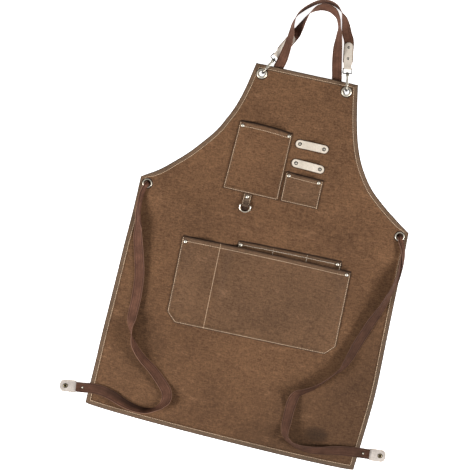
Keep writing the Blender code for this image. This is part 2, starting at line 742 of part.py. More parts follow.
def make_eye(side, frame):
    name = "swivel_eye_" + side_name(side)
    half = TAB_EYE_WIDTH / 2 + GAP + EYE_WIRE
    far = eye_bar_height()
    corner = 0.0010
    loop = [(EYE_NEAR, -half + corner), (EYE_NEAR, half - corner), (EYE_NEAR + corner, half),
            (EYE_FAR - corner, half), (EYE_FAR, half - corner), (EYE_FAR, -half + corner),
            (EYE_FAR - corner, -half), (EYE_NEAR + corner, -half)]
    points = []
    for along, across in loop:
        share = (along - EYE_NEAR) / (EYE_FAR - EYE_NEAR)
        points.append(frame @ Vector((along, across, mix(STEM_HEIGHT, far, smooth(share)))))
    eye = wire(name, points, EYE_WIRE, "nickel", closed=True, sides_quarter=1)
    boss = rod(name + "_boss", frame @ Vector((EYE_NEAR - 0.0021, 0, STEM_HEIGHT)),
               frame @ Vector((EYE_NEAR + 0.0021, 0, STEM_HEIGHT)), 0.0026, sides=10)
    combine(eye, boss, "UNION")
    bore = rod(name + "_bore", frame @ Vector((EYE_NEAR - 0.005, 0, STEM_HEIGHT)),
               frame @ Vector((EYE_NEAR + 0.005, 0, STEM_HEIGHT)), 0.0012 + GAP, sides=10)
    combine(eye, bore, "DIFFERENCE")


def make_hook_tab(side):
    name = "hook_tab_" + side_name(side)
    frame = hook_frame(side)
    inside = WEBBING + 2 * GAP
    tab = folded_strip(name, frame, EYE_FAR, eye_bar_height(), EYE_WIRE, TAB_LENGTH - 0.003, TAB_WIDTH,
                       TAB_EYE_WIDTH, LEATHER, inside, "leather", True)
    for index, share in enumerate((0.36, 0.77)):
        place = frame @ Vector((EYE_FAR + TAB_LENGTH * share, 0, 0))
        add_rivet("%s_rivet_%d" % (name, index + 1), (place.x, place.y), LEATHER * 0.8, tab,
                  SMALL_RIVET_HEAD, SMALL_RIVET_RISE)


# The straps: one length of webbing each, from its hook tab over the neck, behind the bib,
# up through a waist grommet and along the skirt to its leather tip

Station = namedtuple("Station", "x y rests lift lean fold")
# Across and along are shares of the panel's sizes; lift is above what the strap rests on,
# lean is the turn about its length in degrees, fold is 1 where it is doubled lengthwise


def arch_station(across, up, lift, lean):
    top = WAIST_ABOVE_ORIGIN + BIB_LENGTH
    return Station(across * BIB_WIDTH / 2, top + up * ARCH_RISE, "floor", lift, lean, 0.0)


def under_station(side, level, inset):
    edge = edge_point(side, level)
    return Station(edge.x - side * inset, edge.y, "floor", 0.0, 0.0, 0.0)


def skirt_station(across, down, lean, fold=0.0):
    return Station(across * HEM_WIDTH / 2, WAIST_ABOVE_ORIGIN - down * SKIRT_LENGTH, "cloth", 0.0, lean, fold)


def tab_stations(side):
    """The webbing's end between the tab's two layers."""
    frame = hook_frame(side)
    lift = LEATHER + GAP
    flat = 0.0 if side > 0 else 180.0
    stations = []
    for share in (0.22, 0.6, 1.0):
        place = frame @ Vector((EYE_FAR + TAB_LENGTH * share, 0, 0))
        stations.append(Station(place.x, place.y, "floor", lift, flat, 0.0))
    return stations


HoleRow = namedtuple("HoleRow", "before after height fold")
# The way up through a waist grommet: distance before or after its centre, and share of the climb
HOLE_ROWS = [
    HoleRow(0.0300, 0.0, 0.00, 0.45),
    HoleRow(0.0180, 0.0, 0.00, 1.0),
    HoleRow(0.0105, 0.0, 0.00, 1.0),
    HoleRow(0.0046, 0.0, 0.01, 1.0),
    HoleRow(0.0014, 0.0, 0.24, 1.0),
    HoleRow(0.0, 0.0001, 0.50, 1.0),
    HoleRow(0.0, 0.0014, 0.76, 1.0),
    HoleRow(0.0, 0.0046, 0.97, 1.0),
    HoleRow(0.0, 0.0105, 1.00, 1.0),
]
WAY_IN = Vector((0.72, 0.69))
WAY_OUT = Vector((-0.38, -0.92))


def hole_stations(side):
    """Up through the waist grommet, folded in half, and over its rim towards the hem."""
    centre = SIDE_GROMMETS[side]
    under = FOLDED_WEBBING / 2
    over = SIDE_CORNER_LIFT + HEM_THICKNESS + FLANGE * 1.3 + 2 * GAP + FOLDED_WEBBING / 2 + 0.0006
    stations = []
    for row in HOLE_ROWS:
        away = WAY_IN * row.before + WAY_OUT * row.after
        x, y = centre.x - side * away.x, centre.y + away.y
        stations.append(Station(x, y, "height", mix(under, over, row.height), 0.0, row.fold))
    return stations


def strap_a_stations():
    """From the right hook over the arch to the left side."""
    return tab_stations(1) + [
        arch_station(0.580, 0.650, 0.0006, 12),
        arch_station(0.490, 0.800, 0.0, 50),
        arch_station(0.390, 0.900, 0.0, 86),
        arch_station(0.260, 0.966, 0.0, 101),
        arch_station(0.105, 0.989, 0.0, 105),
        arch_station(-0.068, 0.962, 0.0, 105),
        arch_station(-0.217, 0.891, 0.0, 104),
        arch_station(-0.345, 0.804, 0.0, 101),
        arch_station(-0.434, 0.710, 0.0, 91),
        arch_station(-0.466, 0.590, 0.0006, 76),
        arch_station(-0.456, 0.440, 0.0068, 56),
        arch_station(-0.471, 0.270, 0.0076, 40),
        arch_station(-0.492, 0.150, 0.0072, 18),
        arch_station(-0.508, 0.090, 0.0056, -4),
        arch_station(-0.522, 0.048, 0.0030, -12),
        arch_station(-0.545, 0.000, 0.0003, -6),
        under_station(-1, 0.975, 0.052),
        under_station(-1, 0.88, 0.040),
        under_station(-1, 0.74, 0.026),
        under_station(-1, 0.56, 0.018),
        under_station(-1, 0.42, 0.020),
        under_station(-1, 0.26, 0.025),
        under_station(-1, 0.15, 0.030),
        under_station(-1, 0.085, 0.026),
    ] + hole_stations(-1) + LEFT_TIE + tip_stations(-1)


def strap_b_stations():
    """From the left hook over the arch to the right side."""
    return tab_stations(-1) + [
        arch_station(-0.330, 0.545, 0.0, 140),
        arch_station(-0.270, 0.670, 0.0, 112),
        arch_station(-0.195, 0.790, 0.0, 92),
        arch_station(-0.060, 0.885, 0.0, 62),
        arch_station(0.100, 0.915, 0.0, 50),
        arch_station(0.240, 0.890, 0.0, 55),
        arch_station(0.350, 0.815, 0.0, 74),
        arch_station(0.415, 0.700, 0.0, 80),
        arch_station(0.450, 0.575, 0.0, 58),
        arch_station(0.480, 0.410, 0.0, 28),
        arch_station(0.530, 0.230, 0.0, 8),
        arch_station(0.590, 0.060, 0.0, 0),
        under_station(1, 0.975, 0.047),
        under_station(1, 0.88, 0.038),
        under_station(1, 0.74, 0.026),
        under_station(1, 0.56, 0.018),
        under_station(1, 0.42, 0.020),
        under_station(1, 0.26, 0.026),
        under_station(1, 0.15, 0.030),
        under_station(1, 0.085, 0.026),
    ] + hole_stations(1) + RIGHT_TIE + tip_stations(1)


LEFT_TIE = [skirt_station(*row) for row in (
    (-0.952, 0.079, 8, 1.0), (-0.956, 0.114, 15, 0.90), (-0.951, 0.156, 38, 0.70), (-0.938, 0.194, 44, 0.45),
    (-0.921, 0.232, 38, 0.20), (-0.905, 0.270, 28), (-0.865, 0.347, 18), (-0.832, 0.424, 15),
    (-0.816, 0.519, 15), (-0.814, 0.596, 24), (-0.800, 0.652, 75), (-0.750, 0.712, 122),
    (-0.671, 0.758, 136), (-0.585, 0.792, 148), (-0.500, 0.835, 160), (-0.447, 0.869, 178),
    (-0.434, 0.900, 200), (-0.454, 0.928, 235), (-0.500, 0.953, 252), (-0.566, 0.968, 242),
    (-0.651, 0.967, 228), (-0.737, 0.956, 214), (-0.822, 0.939, 198), (-0.914, 0.929, 186),
    (-0.987, 0.930, 181),
)]

RIGHT_TIE = [skirt_station(*row) for row in (
    (0.978, 0.068, -30, 1.0), (0.990, 0.114, -55, 0.80), (0.990, 0.160, -64, 0.45), (0.982, 0.200, -66, 0.20),
    (0.967, 0.236, -64), (0.947, 0.274, -57), (0.928, 0.311, -50), (0.903, 0.349, -40),
    (0.875, 0.387, -32), (0.845, 0.439, -26), (0.812, 0.494, -26), (0.789, 0.540, -34),
    (0.766, 0.578, -50), (0.742, 0.609, -68), (0.694, 0.642, -82), (0.635, 0.680, -80),
    (0.572, 0.714, -68), (0.510, 0.737, -58), (0.470, 0.754, -38), (0.454, 0.783, -8),
    (0.449, 0.825, 22), (0.449, 0.873, 25), (0.452, 0.913, 45), (0.474, 0.940, 66),
    (0.516, 0.957, 72), (0.582, 0.966, 60), (0.664, 0.966, 45), (0.743, 0.959, 35),
    (0.822, 0.947, 26), (0.911, 0.938, 14), (0.987, 0.933, 4),
)]

# Where each waist tie's webbing ends, and which way it points
TIE_ENDS = {-1: (-1.092, 0.939, math.radians(187.0)), 1: (1.087, 0.928, math.radians(4.7))}


def tip_frame(side):
    across, down, heading = TIE_ENDS[side]
    place = (across * HEM_WIDTH / 2, WAIST_ABOVE_ORIGIN - down * SKIRT_LENGTH)
    return frame_at(place, heading)


def tip_stations(side):
    frame = tip_frame(side)
    flat = 180.0 if side < 0 else 0.0
    stations = []
    for along in (-0.0195, 0.0):
        place = frame @ Vector((along, 0, 0))
        stations.append(Station(place.x, place.y, "floor", TIP_LEATHER + GAP, flat, 0.0))
    return stations


COLUMNS = (-1.0, -0.5, 0.0, 0.5, 1.0)


def webbing_section(fold):
    """Across and outward places of the webbing's columns; folded, its left part lies over its right part."""
    half = WEBBING_WIDTH / 2
    crease = mix(half, -0.22 * half, fold)
    arc = math.pi * SPINE_RADIUS
    doubled = (-half, crease, crease + arc / 2, crease + arc, half)
    points = []
    for column, place in zip(COLUMNS, doubled):
        along = mix(column * half, place, fold)
        if along <= crease:
            points.append((along, 0.0))
        elif along <= crease + arc:
            angle = (along - crease) / SPINE_RADIUS
            points.append((crease + SPINE_RADIUS * math.sin(angle), SPINE_RADIUS * (1 - math.cos(angle))))
        else:
            points.append((2 * crease + arc - along, 2 * SPINE_RADIUS))
    low = min(across for across, out in points)
    high = max(across for across, out in points)
    out_most = max(out for across, out in points)
    return [(across - (low + high) / 2, out - out_most / 2) for across, out in points]


def section_frame(heading, pitch, lean):
    forward = Vector((math.cos(heading), math.sin(heading), 0.0))
    left = Vector((-forward.y, forward.x, 0.0))
    up = -forward * math.sin(pitch) + Vector((0, 0, math.cos(pitch)))
    lean = math.radians(lean)
    across = left * math.cos(lean) + up * math.sin(lean)
    outward = -left * math.sin(lean) + up * math.cos(lean)
    return across, outward


def resting_height(station, heading):
    """How high the section's middle lies when its lowest edge rests, plus its lift."""
    across, outward = section_frame(heading, 0.0, station.lean)
    height = 0.0
    for a, n in webbing_section(station.fold):
        offset = across * a + outward * n
        x, y = station.x + offset.x, station.y + offset.y
        floor = cloth_top(x, y) + GAP if station.rests == "cloth" else 0.0
        height = max(height, floor - offset.z + abs(outward.z) * WEBBING / 2)
    return height + station.lift


def strap_sections(stations):
    """Stations on a smooth curve through the given ones."""
    sections = []
    for index in range(len(stations) - 1):
        around = [stations[min(max(index + step, 0), len(stations) - 1)] for step in (-1, 0, 1, 2)]
        start, end = around[1], around[2]
        parts_each = max(1, round(math.hypot(end.x - start.x, end.y - start.y) / STRAP_STEP))
        rests = start.rests if start.rests == end.rests else "between"
        for step in range(parts_each):
            share = step / parts_each
            x = between(*[station.x for station in around], share)
            y = between(*[station.y for station in around], share)
            lift, lean, fold = (mix(getattr(start, key), getattr(end, key), share) for key in
                                ("lift", "lean", "fold"))
            sections.append(Station(x, y, rests if step else start.rests, lift, lean, fold))
    sections.append(stations[-1])
    return sections


def headings(sections):
    turned_to = []
    for index in range(len(sections)):
        before, after = sections[max(index - 1, 0)], sections[min(index + 1, len(sections) - 1)]
        turned_to.append(math.atan2(after.y - before.y, after.x - before.x))
    return turned_to


def strap_heights(sections, ways):
    heights = []
    for section, heading in zip(sections, ways):
        if section.rests == "height":
            heights.append(section.lift)
        elif section.rests == "between":
            heights.append(None)
        else:
            heights.append(resting_height(section, heading))
    known = [index for index, height in enumerate(heights) if height is not None]
    for index, height in enumerate(heights):
        if height is None:
            low = max(place for place in known if place < index)
            high = min(place for place in known if place > index)
            heights[index] = mix(heights[low], heights[high], smooth((index - low) / (high - low)))
    raised = list(heights)
    for index, section in enumerate(sections):
        if section.rests == "cloth":
            raised[index] = max(heights[max(index - 1, 0):index + 2])
    eased = list(raised)
    for index, section in enumerate(sections):
        if section.rests == "cloth" and 0 < index < len(sections) - 1:
            eased[index] = max(heights[index], (raised[index - 1] + 2 * raised[index] + raised[index + 1]) / 4)
    return eased


JOINT_LEVEL = 0.93
JOINT_INSET = 0.044


def make_strap(neck_name, tie_name, side, stations):
    """One length of webbing, in two solids that meet out of sight under the bib."""
    sections = strap_sections(stations)
    ways = headings(sections)
    heights = strap_heights(sections, ways)
    rows = []
    last = len(sections) - 1
    for index, (section, heading, height) in enumerate(zip(sections, ways, heights)):
        before, after = max(index - 1, 0), min(index + 1, last)
        run = math.hypot(sections[after].x - sections[before].x, sections[after].y - sections[before].y)
        pitch = math.atan2(heights[after] - heights[before], run)
        across, outward = section_frame(heading, pitch, section.lean)
        centre = Vector((section.x, section.y, height))
        rows.append([tuple(centre + across * a + outward * n) for a, n in webbing_section(section.fold)])
    met = under_station(side, JOINT_LEVEL, JOINT_INSET)
    joint = min(range(last), key=lambda i: math.hypot(sections[i].x - met.x, sections[i].y - met.y))
    middle, after = sections[joint], sections[joint + 1]
    share = GAP / math.hypot(after.x - middle.x, after.y - middle.y)
    start = [tuple(Vector(low).lerp(Vector(high), share)) for low, high in zip(rows[joint], rows[joint + 1])]
    sheet(neck_name, rows[:joint + 1], WEBBING, "webbing", offset=0.0)
    return sheet(tie_name, [start] + rows[joint + 1:], WEBBING, "webbing", offset=0.0)


def make_tip(side):
    """A leather paddle with a snap eyelet; its narrow tongue lies under the webbing's end."""
    name = "strap_tip_" + side_name(side)
    frame = tip_frame(side)
    half = TIP_WIDTH / 2
    outline = [(-TONGUE, TONGUE_WIDTH / 2), (-0.001, TONGUE_WIDTH / 2), (0.0010, half - 0.001), (0.0030, half)]
    for step in range(1, 8):
        angle = math.pi / 2 * (1 - step / 7)
        outline.append((TIP_LENGTH - half * 0.8 + half * 0.8 * math.cos(angle), half * math.sin(angle) ** 0.8))
    rows = []
    for along, width in outline:
        width = max(width, 0.0015)
        rows.append([tuple(frame @ Vector((along, across * width, 0.0))) for across in (1, 0.4, -0.4, -1)])
    tip = sheet(name, rows, TIP_LEATHER, "leather")
    place = frame @ Vector((0.0235, 0, 0))
    cutter = rod(name + "_hole", (place.x, place.y, -0.01), (place.x, place.y, 0.01), EYELET_HOLE + BARREL + GAP,
                 sides=10)
    combine(tip, cutter, "DIFFERENCE")
    top = TIP_LEATHER + GAP
    profile = [(EYELET_HOLE, top + 0.0012), (EYELET_HOLE + BARREL, top + 0.0016), (EYELET_FLANGE - 0.0008, top + 0.0012),
               (EYELET_FLANGE, top), (EYELET_HOLE + BARREL, top), (EYELET_HOLE + BARREL, 0.0), (EYELET_HOLE, 0.0)]
    turned("tip_eyelet_" + side_name(side), profile, (place.x, place.y, 0.0), "nickel", 14)
    return frame


def make_straps():
    for name, side, stations in (("strap_a", -1, strap_a_stations()), ("strap_b", 1, strap_b_stations())):
        strap = make_strap(name, "waist_tie_" + side_name(side), side, stations)
        frame = make_tip(side)
        place = frame @ Vector((-0.0145, 0, 0))
        add_rivet("%s_end_rivet" % name, (place.x, place.y), WEBBING * 0.8, strap, SMALL_RIVET_HEAD,
                  SMALL_RIVET_RISE)


# The ring below the chest pocket

RING_AT = (-0.0625, -0.0167)


def make_ring():
    x, y = RING_AT[0], RING_AT[1] + WAIST_ABOVE_ORIGIN
    base = flat_top(y) + GAP
    bar = base + RING_TAB_THICKNESS + GAP + RING_WIRE
    half = RING_WIDTH / 2 - RING_WIRE
    length = RING_LENGTH - 2 * RING_WIRE
    points = [(-half + 0.001, 0.0), (half - 0.001, 0.0), (half, -0.0012)]
    for step in range(1, 8):
        angle = math.pi * step / 8
        points.append((half * math.cos(angle), -length * math.sin(angle) ** 0.75))
    points.append((-half, -0.0012))
    route = []
    for across, along in points:
        height = mix(bar, base + RING_WIRE, -along / length)
        route.append((x + across, y + along, height))
    wire("d_ring", route, RING_WIRE, "nickel", closed=True, sides_quarter=1)
    chest = POCKETS[0]
    bottom = pocket_point(chest, 0.45, 1.0).y
    reach = bottom - GAP - y
    frame = frame_at((x, y), math.pi / 2)
    tab = folded_strip("ring_tab", frame, 0.0, bar, RING_WIRE, reach, RING_TAB_WIDTH, RING_TAB_WIDTH,
                       RING_TAB_THICKNESS, GAP, "canvas", False)
    place = frame @ Vector((reach * 0.74, 0, 0))
    add_rivet("ring_tab_rivet", (place.x, place.y), RING_TAB_THICKNESS * 0.8, tab, RIVET_HEAD, RIVET_RISE)


def main():
    for obj in list(bpy.data.objects):
        bpy.data.objects.remove(obj)
    for collection in (parts, cutters):
        bpy.context.scene.collection.children.link(collection)
    make_panel()
    make_grommets()
    make_pockets()
    make_tool_loops()
    make_ring()
    for side in (-1, 1):
        make_hook(side)
        make_hook_tab(side)
    make_straps()


main()
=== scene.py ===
"""A waxed canvas work apron, face up on a white floor, its straps drawn into a neck arch and two waist ties.

Metres, +Z up, the floor at z = 0, the bib towards +Y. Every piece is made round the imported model.
"""
import math
from collections import namedtuple

import bmesh
import bpy
from mathutils import Matrix, Vector, noise
from mathutils.bvhtree import BVHTree


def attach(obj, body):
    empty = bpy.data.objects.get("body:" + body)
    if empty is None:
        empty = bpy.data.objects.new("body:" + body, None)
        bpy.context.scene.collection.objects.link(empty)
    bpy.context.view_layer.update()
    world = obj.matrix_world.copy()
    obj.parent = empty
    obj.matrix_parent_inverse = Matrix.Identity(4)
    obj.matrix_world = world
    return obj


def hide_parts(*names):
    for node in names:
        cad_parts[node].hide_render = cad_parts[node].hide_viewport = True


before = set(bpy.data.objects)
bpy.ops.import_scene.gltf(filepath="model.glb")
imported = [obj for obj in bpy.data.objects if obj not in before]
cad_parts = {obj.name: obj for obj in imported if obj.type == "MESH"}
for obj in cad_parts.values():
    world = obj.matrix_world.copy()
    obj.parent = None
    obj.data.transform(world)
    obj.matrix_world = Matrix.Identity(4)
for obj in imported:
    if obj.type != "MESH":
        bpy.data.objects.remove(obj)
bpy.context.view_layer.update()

# The photograph's view: straight down, turned, and this wide
VIEW_CENTRE = (-0.0694, 0.1948)
VIEW_TURN = math.radians(13.46)
VIEW_WIDTH = 1.034
VIEW_HEIGHT = 5.0

# Panel
HEM_WIDTH = 0.608
WAIST_WIDTH = 0.6015
BIB_WIDTH = 0.229
BIB_LENGTH = 0.296
SKIRT_LENGTH = 0.523
WAIST = 0.280
WAIST_SKEW = 0.015
TOP_SKEW = 0.0045
BOTTOM_SKEW = -0.007
BOTTOM_BOW = 0.0085
SIDE_BOW = 0.010
BIB_SHIFT = 0.0025
GAP = 0.0003
CANVAS = 0.0015
HEM_THICKNESS = 0.0026
HEM_FOLD = 0.0108
HEM_STITCH = 0.0094
HEM_STEP = 0.0010
GROOVE = 0.0004
GROOVE_WIDTH = 0.0009

# Grommets
GROMMET_IN = {(-1, 1): 0.0175, (1, 1): 0.0215, (-1, 0): 0.0175, (1, 0): 0.0175}
GROMMET_DOWN = {1: 0.0205, 0: 0.0120}
HOLE = {1: 0.0062, 0: 0.0070}
RIM = {1: 0.0115, 0: 0.0105}
FLANGE = 0.0007

# Webbing and leather
WEBBING_WIDTH = 0.022
WEBBING = 0.0015
SPINE_RADIUS = 0.0014
LEATHER = 0.0014
LOOP_LEATHER = 0.0018
TIP_LEATHER = 0.0020

# Hooks
ARCH_RISE = 0.166
HOOK_WIRE = 0.0016
HOOK_HEIGHT = 0.0175
POST_AT = 0.036
EYE_NEAR = 0.0405
EYE_FAR = 0.0515
EYE_WIRE = 0.0012
STEM_HEIGHT = 0.0034
LEVER = 0.0018
LEVER_REACH = 0.0235
LEVER_PIVOT = HOOK_HEIGHT - HOOK_WIRE - GAP - LEVER / 2
TAB_WIDTH = 0.019
TAB_EYE_WIDTH = 0.0165
TAB_LENGTH = 0.060
EYE_BAR_HEIGHT = LEATHER + GAP + EYE_WIRE
HOOK_IN_HOLE = 0.0036
HOOK_TURN = {-1: math.radians(63.0), 1: math.radians(100.5)}

# The ring under the chest pocket
RING_AT = (-0.0625, -0.0167)
RING_WIRE = 0.0015
RING_WIDTH = 0.027
RING_LENGTH = 0.0175
RING_TAB_WIDTH = 0.018
RING_TAB_THICKNESS = 0.0011

# Heights of the cloth over what lies under it
BIB_LIFT = WEBBING + 2 * GAP
BIB_CORNER_LIFT = GAP + 2 * HOOK_WIRE + GAP + FLANGE + GAP
FOLDED_WEBBING = 2 * SPINE_RADIUS + WEBBING
SIDE_CORNER_LIFT = FOLDED_WEBBING + 0.0006 + FLANGE + 2 * GAP
PLATEAU = 0.031
PLATEAU_FADE = 0.042
RAMP_TOP = 0.042
RAMP_LENGTH = 0.040

ArmholeRow = namedtuple("ArmholeRow", "rise left_flare right_flare")
ARMHOLE = [
    ArmholeRow(0.00, 1.000, 1.000),
    ArmholeRow(0.08, 0.807, 0.805),
    ArmholeRow(0.16, 0.667, 0.629),
    ArmholeRow(0.25, 0.524, 0.461),
    ArmholeRow(0.35, 0.393, 0.333),
    ArmholeRow(0.45, 0.277, 0.238),
    ArmholeRow(0.55, 0.194, 0.171),
    ArmholeRow(0.66, 0.118, 0.118),
    ArmholeRow(0.80, 0.056, 0.064),
    ArmholeRow(1.00, 0.000, 0.000),
]

SkirtRow = namedtuple("SkirtRow", "drop left_bow right_bow")
SKIRT = [
    SkirtRow(0.00, 0.00, 0.00),
    SkirtRow(0.12, -0.10, 0.25),
    SkirtRow(0.30, 0.00, 0.45),
    SkirtRow(0.45, 0.00, 0.66),
    SkirtRow(0.62, 0.05, 0.93),
    SkirtRow(0.72, 0.05, 0.90),
    SkirtRow(0.82, 0.00, 0.62),
    SkirtRow(0.92, 0.00, 0.28),
    SkirtRow(1.00, 0.00, 0.00),
]

EdgeWave = namedtuple("EdgeWave", "side drop rise spread")
EDGE_WAVES = [
    EdgeWave(-1, 0.30, 0.0020, 0.10),
    EdgeWave(-1, 0.72, 0.0016, 0.08),
    EdgeWave(1, 0.38, 0.0018, 0.09),
    EdgeWave(1, 0.66, 0.0026, 0.08),
]
WAVE_REACH = 0.070


# Sums and curves

def smooth(value):
    value = min(max(value, 0.0), 1.0)
    return value * value * (3.0 - 2.0 * value)


def mix(low, high, share):
    return low + (high - low) * share


def bell(distance, width):
    return math.exp(-(distance / width) ** 2)


def curved(start, end, leave, arrive, share):
    """A value on the curve from start to end that has these slopes at its ends."""
    square, cube = share * share, share ** 3
    return ((2 * cube - 3 * square + 1) * start + (cube - 2 * square + share) * leave
            + (3 * square - 2 * cube) * end + (cube - square) * arrive)


def curve_through(before, start, end, after, share):
    """A value on the curve through start and end that leaves towards its neighbours."""
    return curved(start, end, (end - before) / 2, (after - start) / 2, share)


def read_table(rows, key, column, at):
    """Reads a column on a smooth curve through its rows."""
    last = len(rows) - 1
    index = next((i for i in range(last) if at <= getattr(rows[i + 1], key)), last - 1)
    places = [getattr(row, key) for row in rows]
    values = [getattr(row, column) for row in rows]

    def slope(i):
        low, high = max(i - 1, 0), min(i + 1, last)
        return (values[high] - values[low]) / (places[high] - places[low])

    span = places[index + 1] - places[index]
    return curved(values[index], values[index + 1], slope(index) * span, slope(index + 1) * span,
                  (at - places[index]) / span)


def steps(start, end, longest):
    """Even places from start to end, both included."""
    count = max(1, math.ceil(abs(end - start) / longest))
    return [mix(start, end, i / count) for i in range(count + 1)]


# The camera and the studio

def place_camera():
    data = bpy.data.cameras.new("overhead_camera")
    data.sensor_width = 36.0
    data.lens = data.sensor_width * VIEW_HEIGHT / VIEW_WIDTH
    camera = bpy.data.objects.new("overhead_camera", data)
    camera.location = (*VIEW_CENTRE, VIEW_HEIGHT)
    camera.rotation_euler = (0.0, 0.0, VIEW_TURN)
    bpy.context.scene.collection.objects.link(camera)
    bpy.context.scene.camera = camera
    bpy.context.scene.view_settings.view_transform = "Standard"


Softbox = namedtuple("Softbox", "name across up height size power")
SOFTBOXES = [
    Softbox("softbox_low_left", -2.6, -0.9, 1.45, 0.9, 140.0),
    Softbox("softbox_low_right", 2.6, -0.8, 1.45, 0.9, 110.0),
]
ROOM_LIGHT = 0.28


def hang_softbox(softbox):
    """A square lamp placed by the photograph's own right and up, aimed at the apron."""
    right = Vector((math.cos(VIEW_TURN), math.sin(VIEW_TURN), 0.0))
    ahead = Vector((-right.y, right.x, 0.0))
    place = Vector((*VIEW_CENTRE, softbox.height)) + right * softbox.across + ahead * softbox.up
    data = bpy.data.lights.new(softbox.name, "AREA")
    data.size = softbox.size
    data.energy = softbox.power
    lamp = bpy.data.objects.new(softbox.name, data)
    lamp.location = place
    lamp.rotation_euler = (place - Vector((*VIEW_CENTRE, 0.0))).to_track_quat("Z", "Y").to_euler()
    bpy.context.scene.collection.objects.link(lamp)


# The room by the height of the direction looked in: dim floor level, white walls, dim ceiling
ROOM = [(0.0, 0.05), (0.24, 0.12), (0.46, 1.0), (0.80, 1.0), (0.92, 0.80), (1.0, 0.66)]


def light_the_studio():
    world = bpy.data.worlds.new("white_room")
    world.use_nodes = True
    tree = world.node_tree
    split = tree.nodes.new("ShaderNodeSeparateXYZ")
    ramp = tree.nodes.new("ShaderNodeValToRGB")
    for height, _ in ROOM[2:]:
        ramp.color_ramp.elements.new(height)
    for element, (height, light) in zip(ramp.color_ramp.elements, ROOM):
        element.position = height
        element.color = (light, light * 0.985, light * 0.965, 1.0)
    tree.links.new(tree.nodes.new("ShaderNodeTexCoord").outputs["Generated"], split.inputs[0])
    tree.links.new(split.outputs["Z"], ramp.inputs[0])
    tree.links.new(ramp.outputs["Color"], tree.nodes["Background"].inputs["Color"])
    tree.nodes["Background"].inputs["Strength"].default_value = ROOM_LIGHT
    bpy.context.scene.world = world
    for softbox in SOFTBOXES:
        hang_softbox(softbox)


place_camera()
light_the_studio()


# Finishes

class Flow:
    """A socket that can stand in a sum."""

    def __init__(self, finish, socket):
        self.finish, self.socket = finish, socket

    def worked(self, operation, first, second=0.0):
        return self.finish.node("ShaderNodeMath", {"operation": operation}, {0: first, 1: second})

    def __add__(self, other):
        return self.worked("ADD", self, other)

    def __sub__(self, other):
        return self.worked("SUBTRACT", self, other)

    def __rsub__(self, other):
        return self.worked("SUBTRACT", other, self)

    def __mul__(self, other):
        return self.worked("MULTIPLY", self, other)

    def __truediv__(self, other):
        return self.worked("DIVIDE", self, other)

    def __pow__(self, other):
        return self.worked("POWER", self, other)

    __radd__ = __add__
    __rmul__ = __mul__


class Finish:
    """A material that is mixed step by step and ends in one Principled shader."""

    def __init__(self, name):
        self.material = bpy.data.materials.new(name)
        self.material.use_nodes = True
        self.tree = self.material.node_tree
        self.shader = self.tree.nodes["Principled BSDF"]

    def node(self, kind, settings, values, output=0):
        made = self.tree.nodes.new(kind)
        for name, value in settings.items():
            setattr(made, name, value)
        for key, value in values.items():
            self.set(made.inputs[key], value)
        return Flow(self, made.outputs[output])

    def set(self, socket, value):
        if isinstance(value, Flow):
            self.tree.links.new(value.socket, socket)
        elif socket.type == "RGBA" and len(value) == 3:
            socket.default_value = (*value, 1.0)
        else:
            socket.default_value = value

    def sine(self, value):
        return self.node("ShaderNodeMath", {"operation": "SINE"}, {0: value})

    def limited(self, value, low, high, to_low=0.0, to_high=1.0):
        values = {"Value": value, "From Min": low, "From Max": high, "To Min": to_low, "To Max": to_high}
        return self.node("ShaderNodeMapRange", {"interpolation_type": "SMOOTHSTEP"}, values)

    def blended(self, share, first, second):
        return self.node("ShaderNodeMix", {"data_type": "RGBA"}, {0: share, 6: first, 7: second}, 2)

    def place(self, stretch=(1.0, 1.0, 1.0), turn=(0.0, 0.0, 0.0)):
        """Object coordinates, stretched and turned."""
        at = self.node("ShaderNodeTexCoord", {}, {}, "Object")
        return self.node("ShaderNodeMapping", {}, {"Vector": at, "Rotation": turn, "Scale": stretch})

    def along(self):
        """The two measures in metres that a cloth piece carries."""
        return self.apart(self.node("ShaderNodeUVMap", {"uv_map": "measures"}, {}))[:2]

    def off(self, value, place):
        return self.node("ShaderNodeMath", {"operation": "ABSOLUTE"}, {0: value - place})

    def most(self, first, second):
        return self.node("ShaderNodeMath", {"operation": "MAXIMUM"}, {0: first, 1: second})

    def apart(self, vector):
        split = self.node("ShaderNodeSeparateXYZ", {}, {0: vector})
        return [Flow(self, output) for output in split.socket.node.outputs]

    def near(self, flat, centre, start, end, share):
        """A share that fades out between two distances from a place seen from above."""
        settings = {"operation": "DISTANCE"}
        away = self.node("ShaderNodeVectorMath", settings, {0: flat, 1: (*centre, 0.0)}, "Value")
        return self.limited(away, start, end, share, 0.0)

    def beside(self, strip, start, end, share):
        """A share that fades out between two distances from a strip with round ends, seen from above."""
        x, y = self.apart(self.place())[:2]
        x, y = x - strip.x, y - strip.y
        along = x * math.cos(strip.lean) + y * math.sin(strip.lean)
        across = y * math.cos(strip.lean) - x * math.sin(strip.lean)
        past = self.most(self.off(along, 0.0) - (strip.length - strip.width) / 2, 0.0)
        away = (past * past + across * across) ** 0.5 - strip.width / 2
        return self.limited(away, start, end, share, 0.0)

    def clouds(self, at, scale, detail=3.0, roughness=0.55):
        return self.node("ShaderNodeTexNoise", {}, {"Vector": at, "Scale": scale, "Detail": detail,
                                                     "Roughness": roughness})

    def relief(self, height, depth, strength=1.0, under=None):
        values = {"Strength": strength, "Distance": depth, "Height": height}
        if under:
            values["Normal"] = under
        return self.node("ShaderNodeBump", {}, values)

    def finished(self, **sockets):
        for name, value in sockets.items():
            self.set(self.shader.inputs[name.replace("_", " ")], value)
        return self.material


FLAT = (1.0, 1.0, 0.0)
# Painted shade: the dark brown that shaded canvas and webbing are blended towards
PAINTED_SHADE_BROWN = (0.012, 0.006, 0.003)
RUBBED_WAX = (0.135, 0.112, 0.084)
SEAM_SHADE = (0.045, 0.022, 0.011)
EDGE_SHADE = (0.030, 0.016, 0.009)
THREAD_PITCH = 0.0016
THREAD_DEPTH = 0.00012
SLUB_DEPTH = 0.0006
TWIST_DEPTH = 0.0001


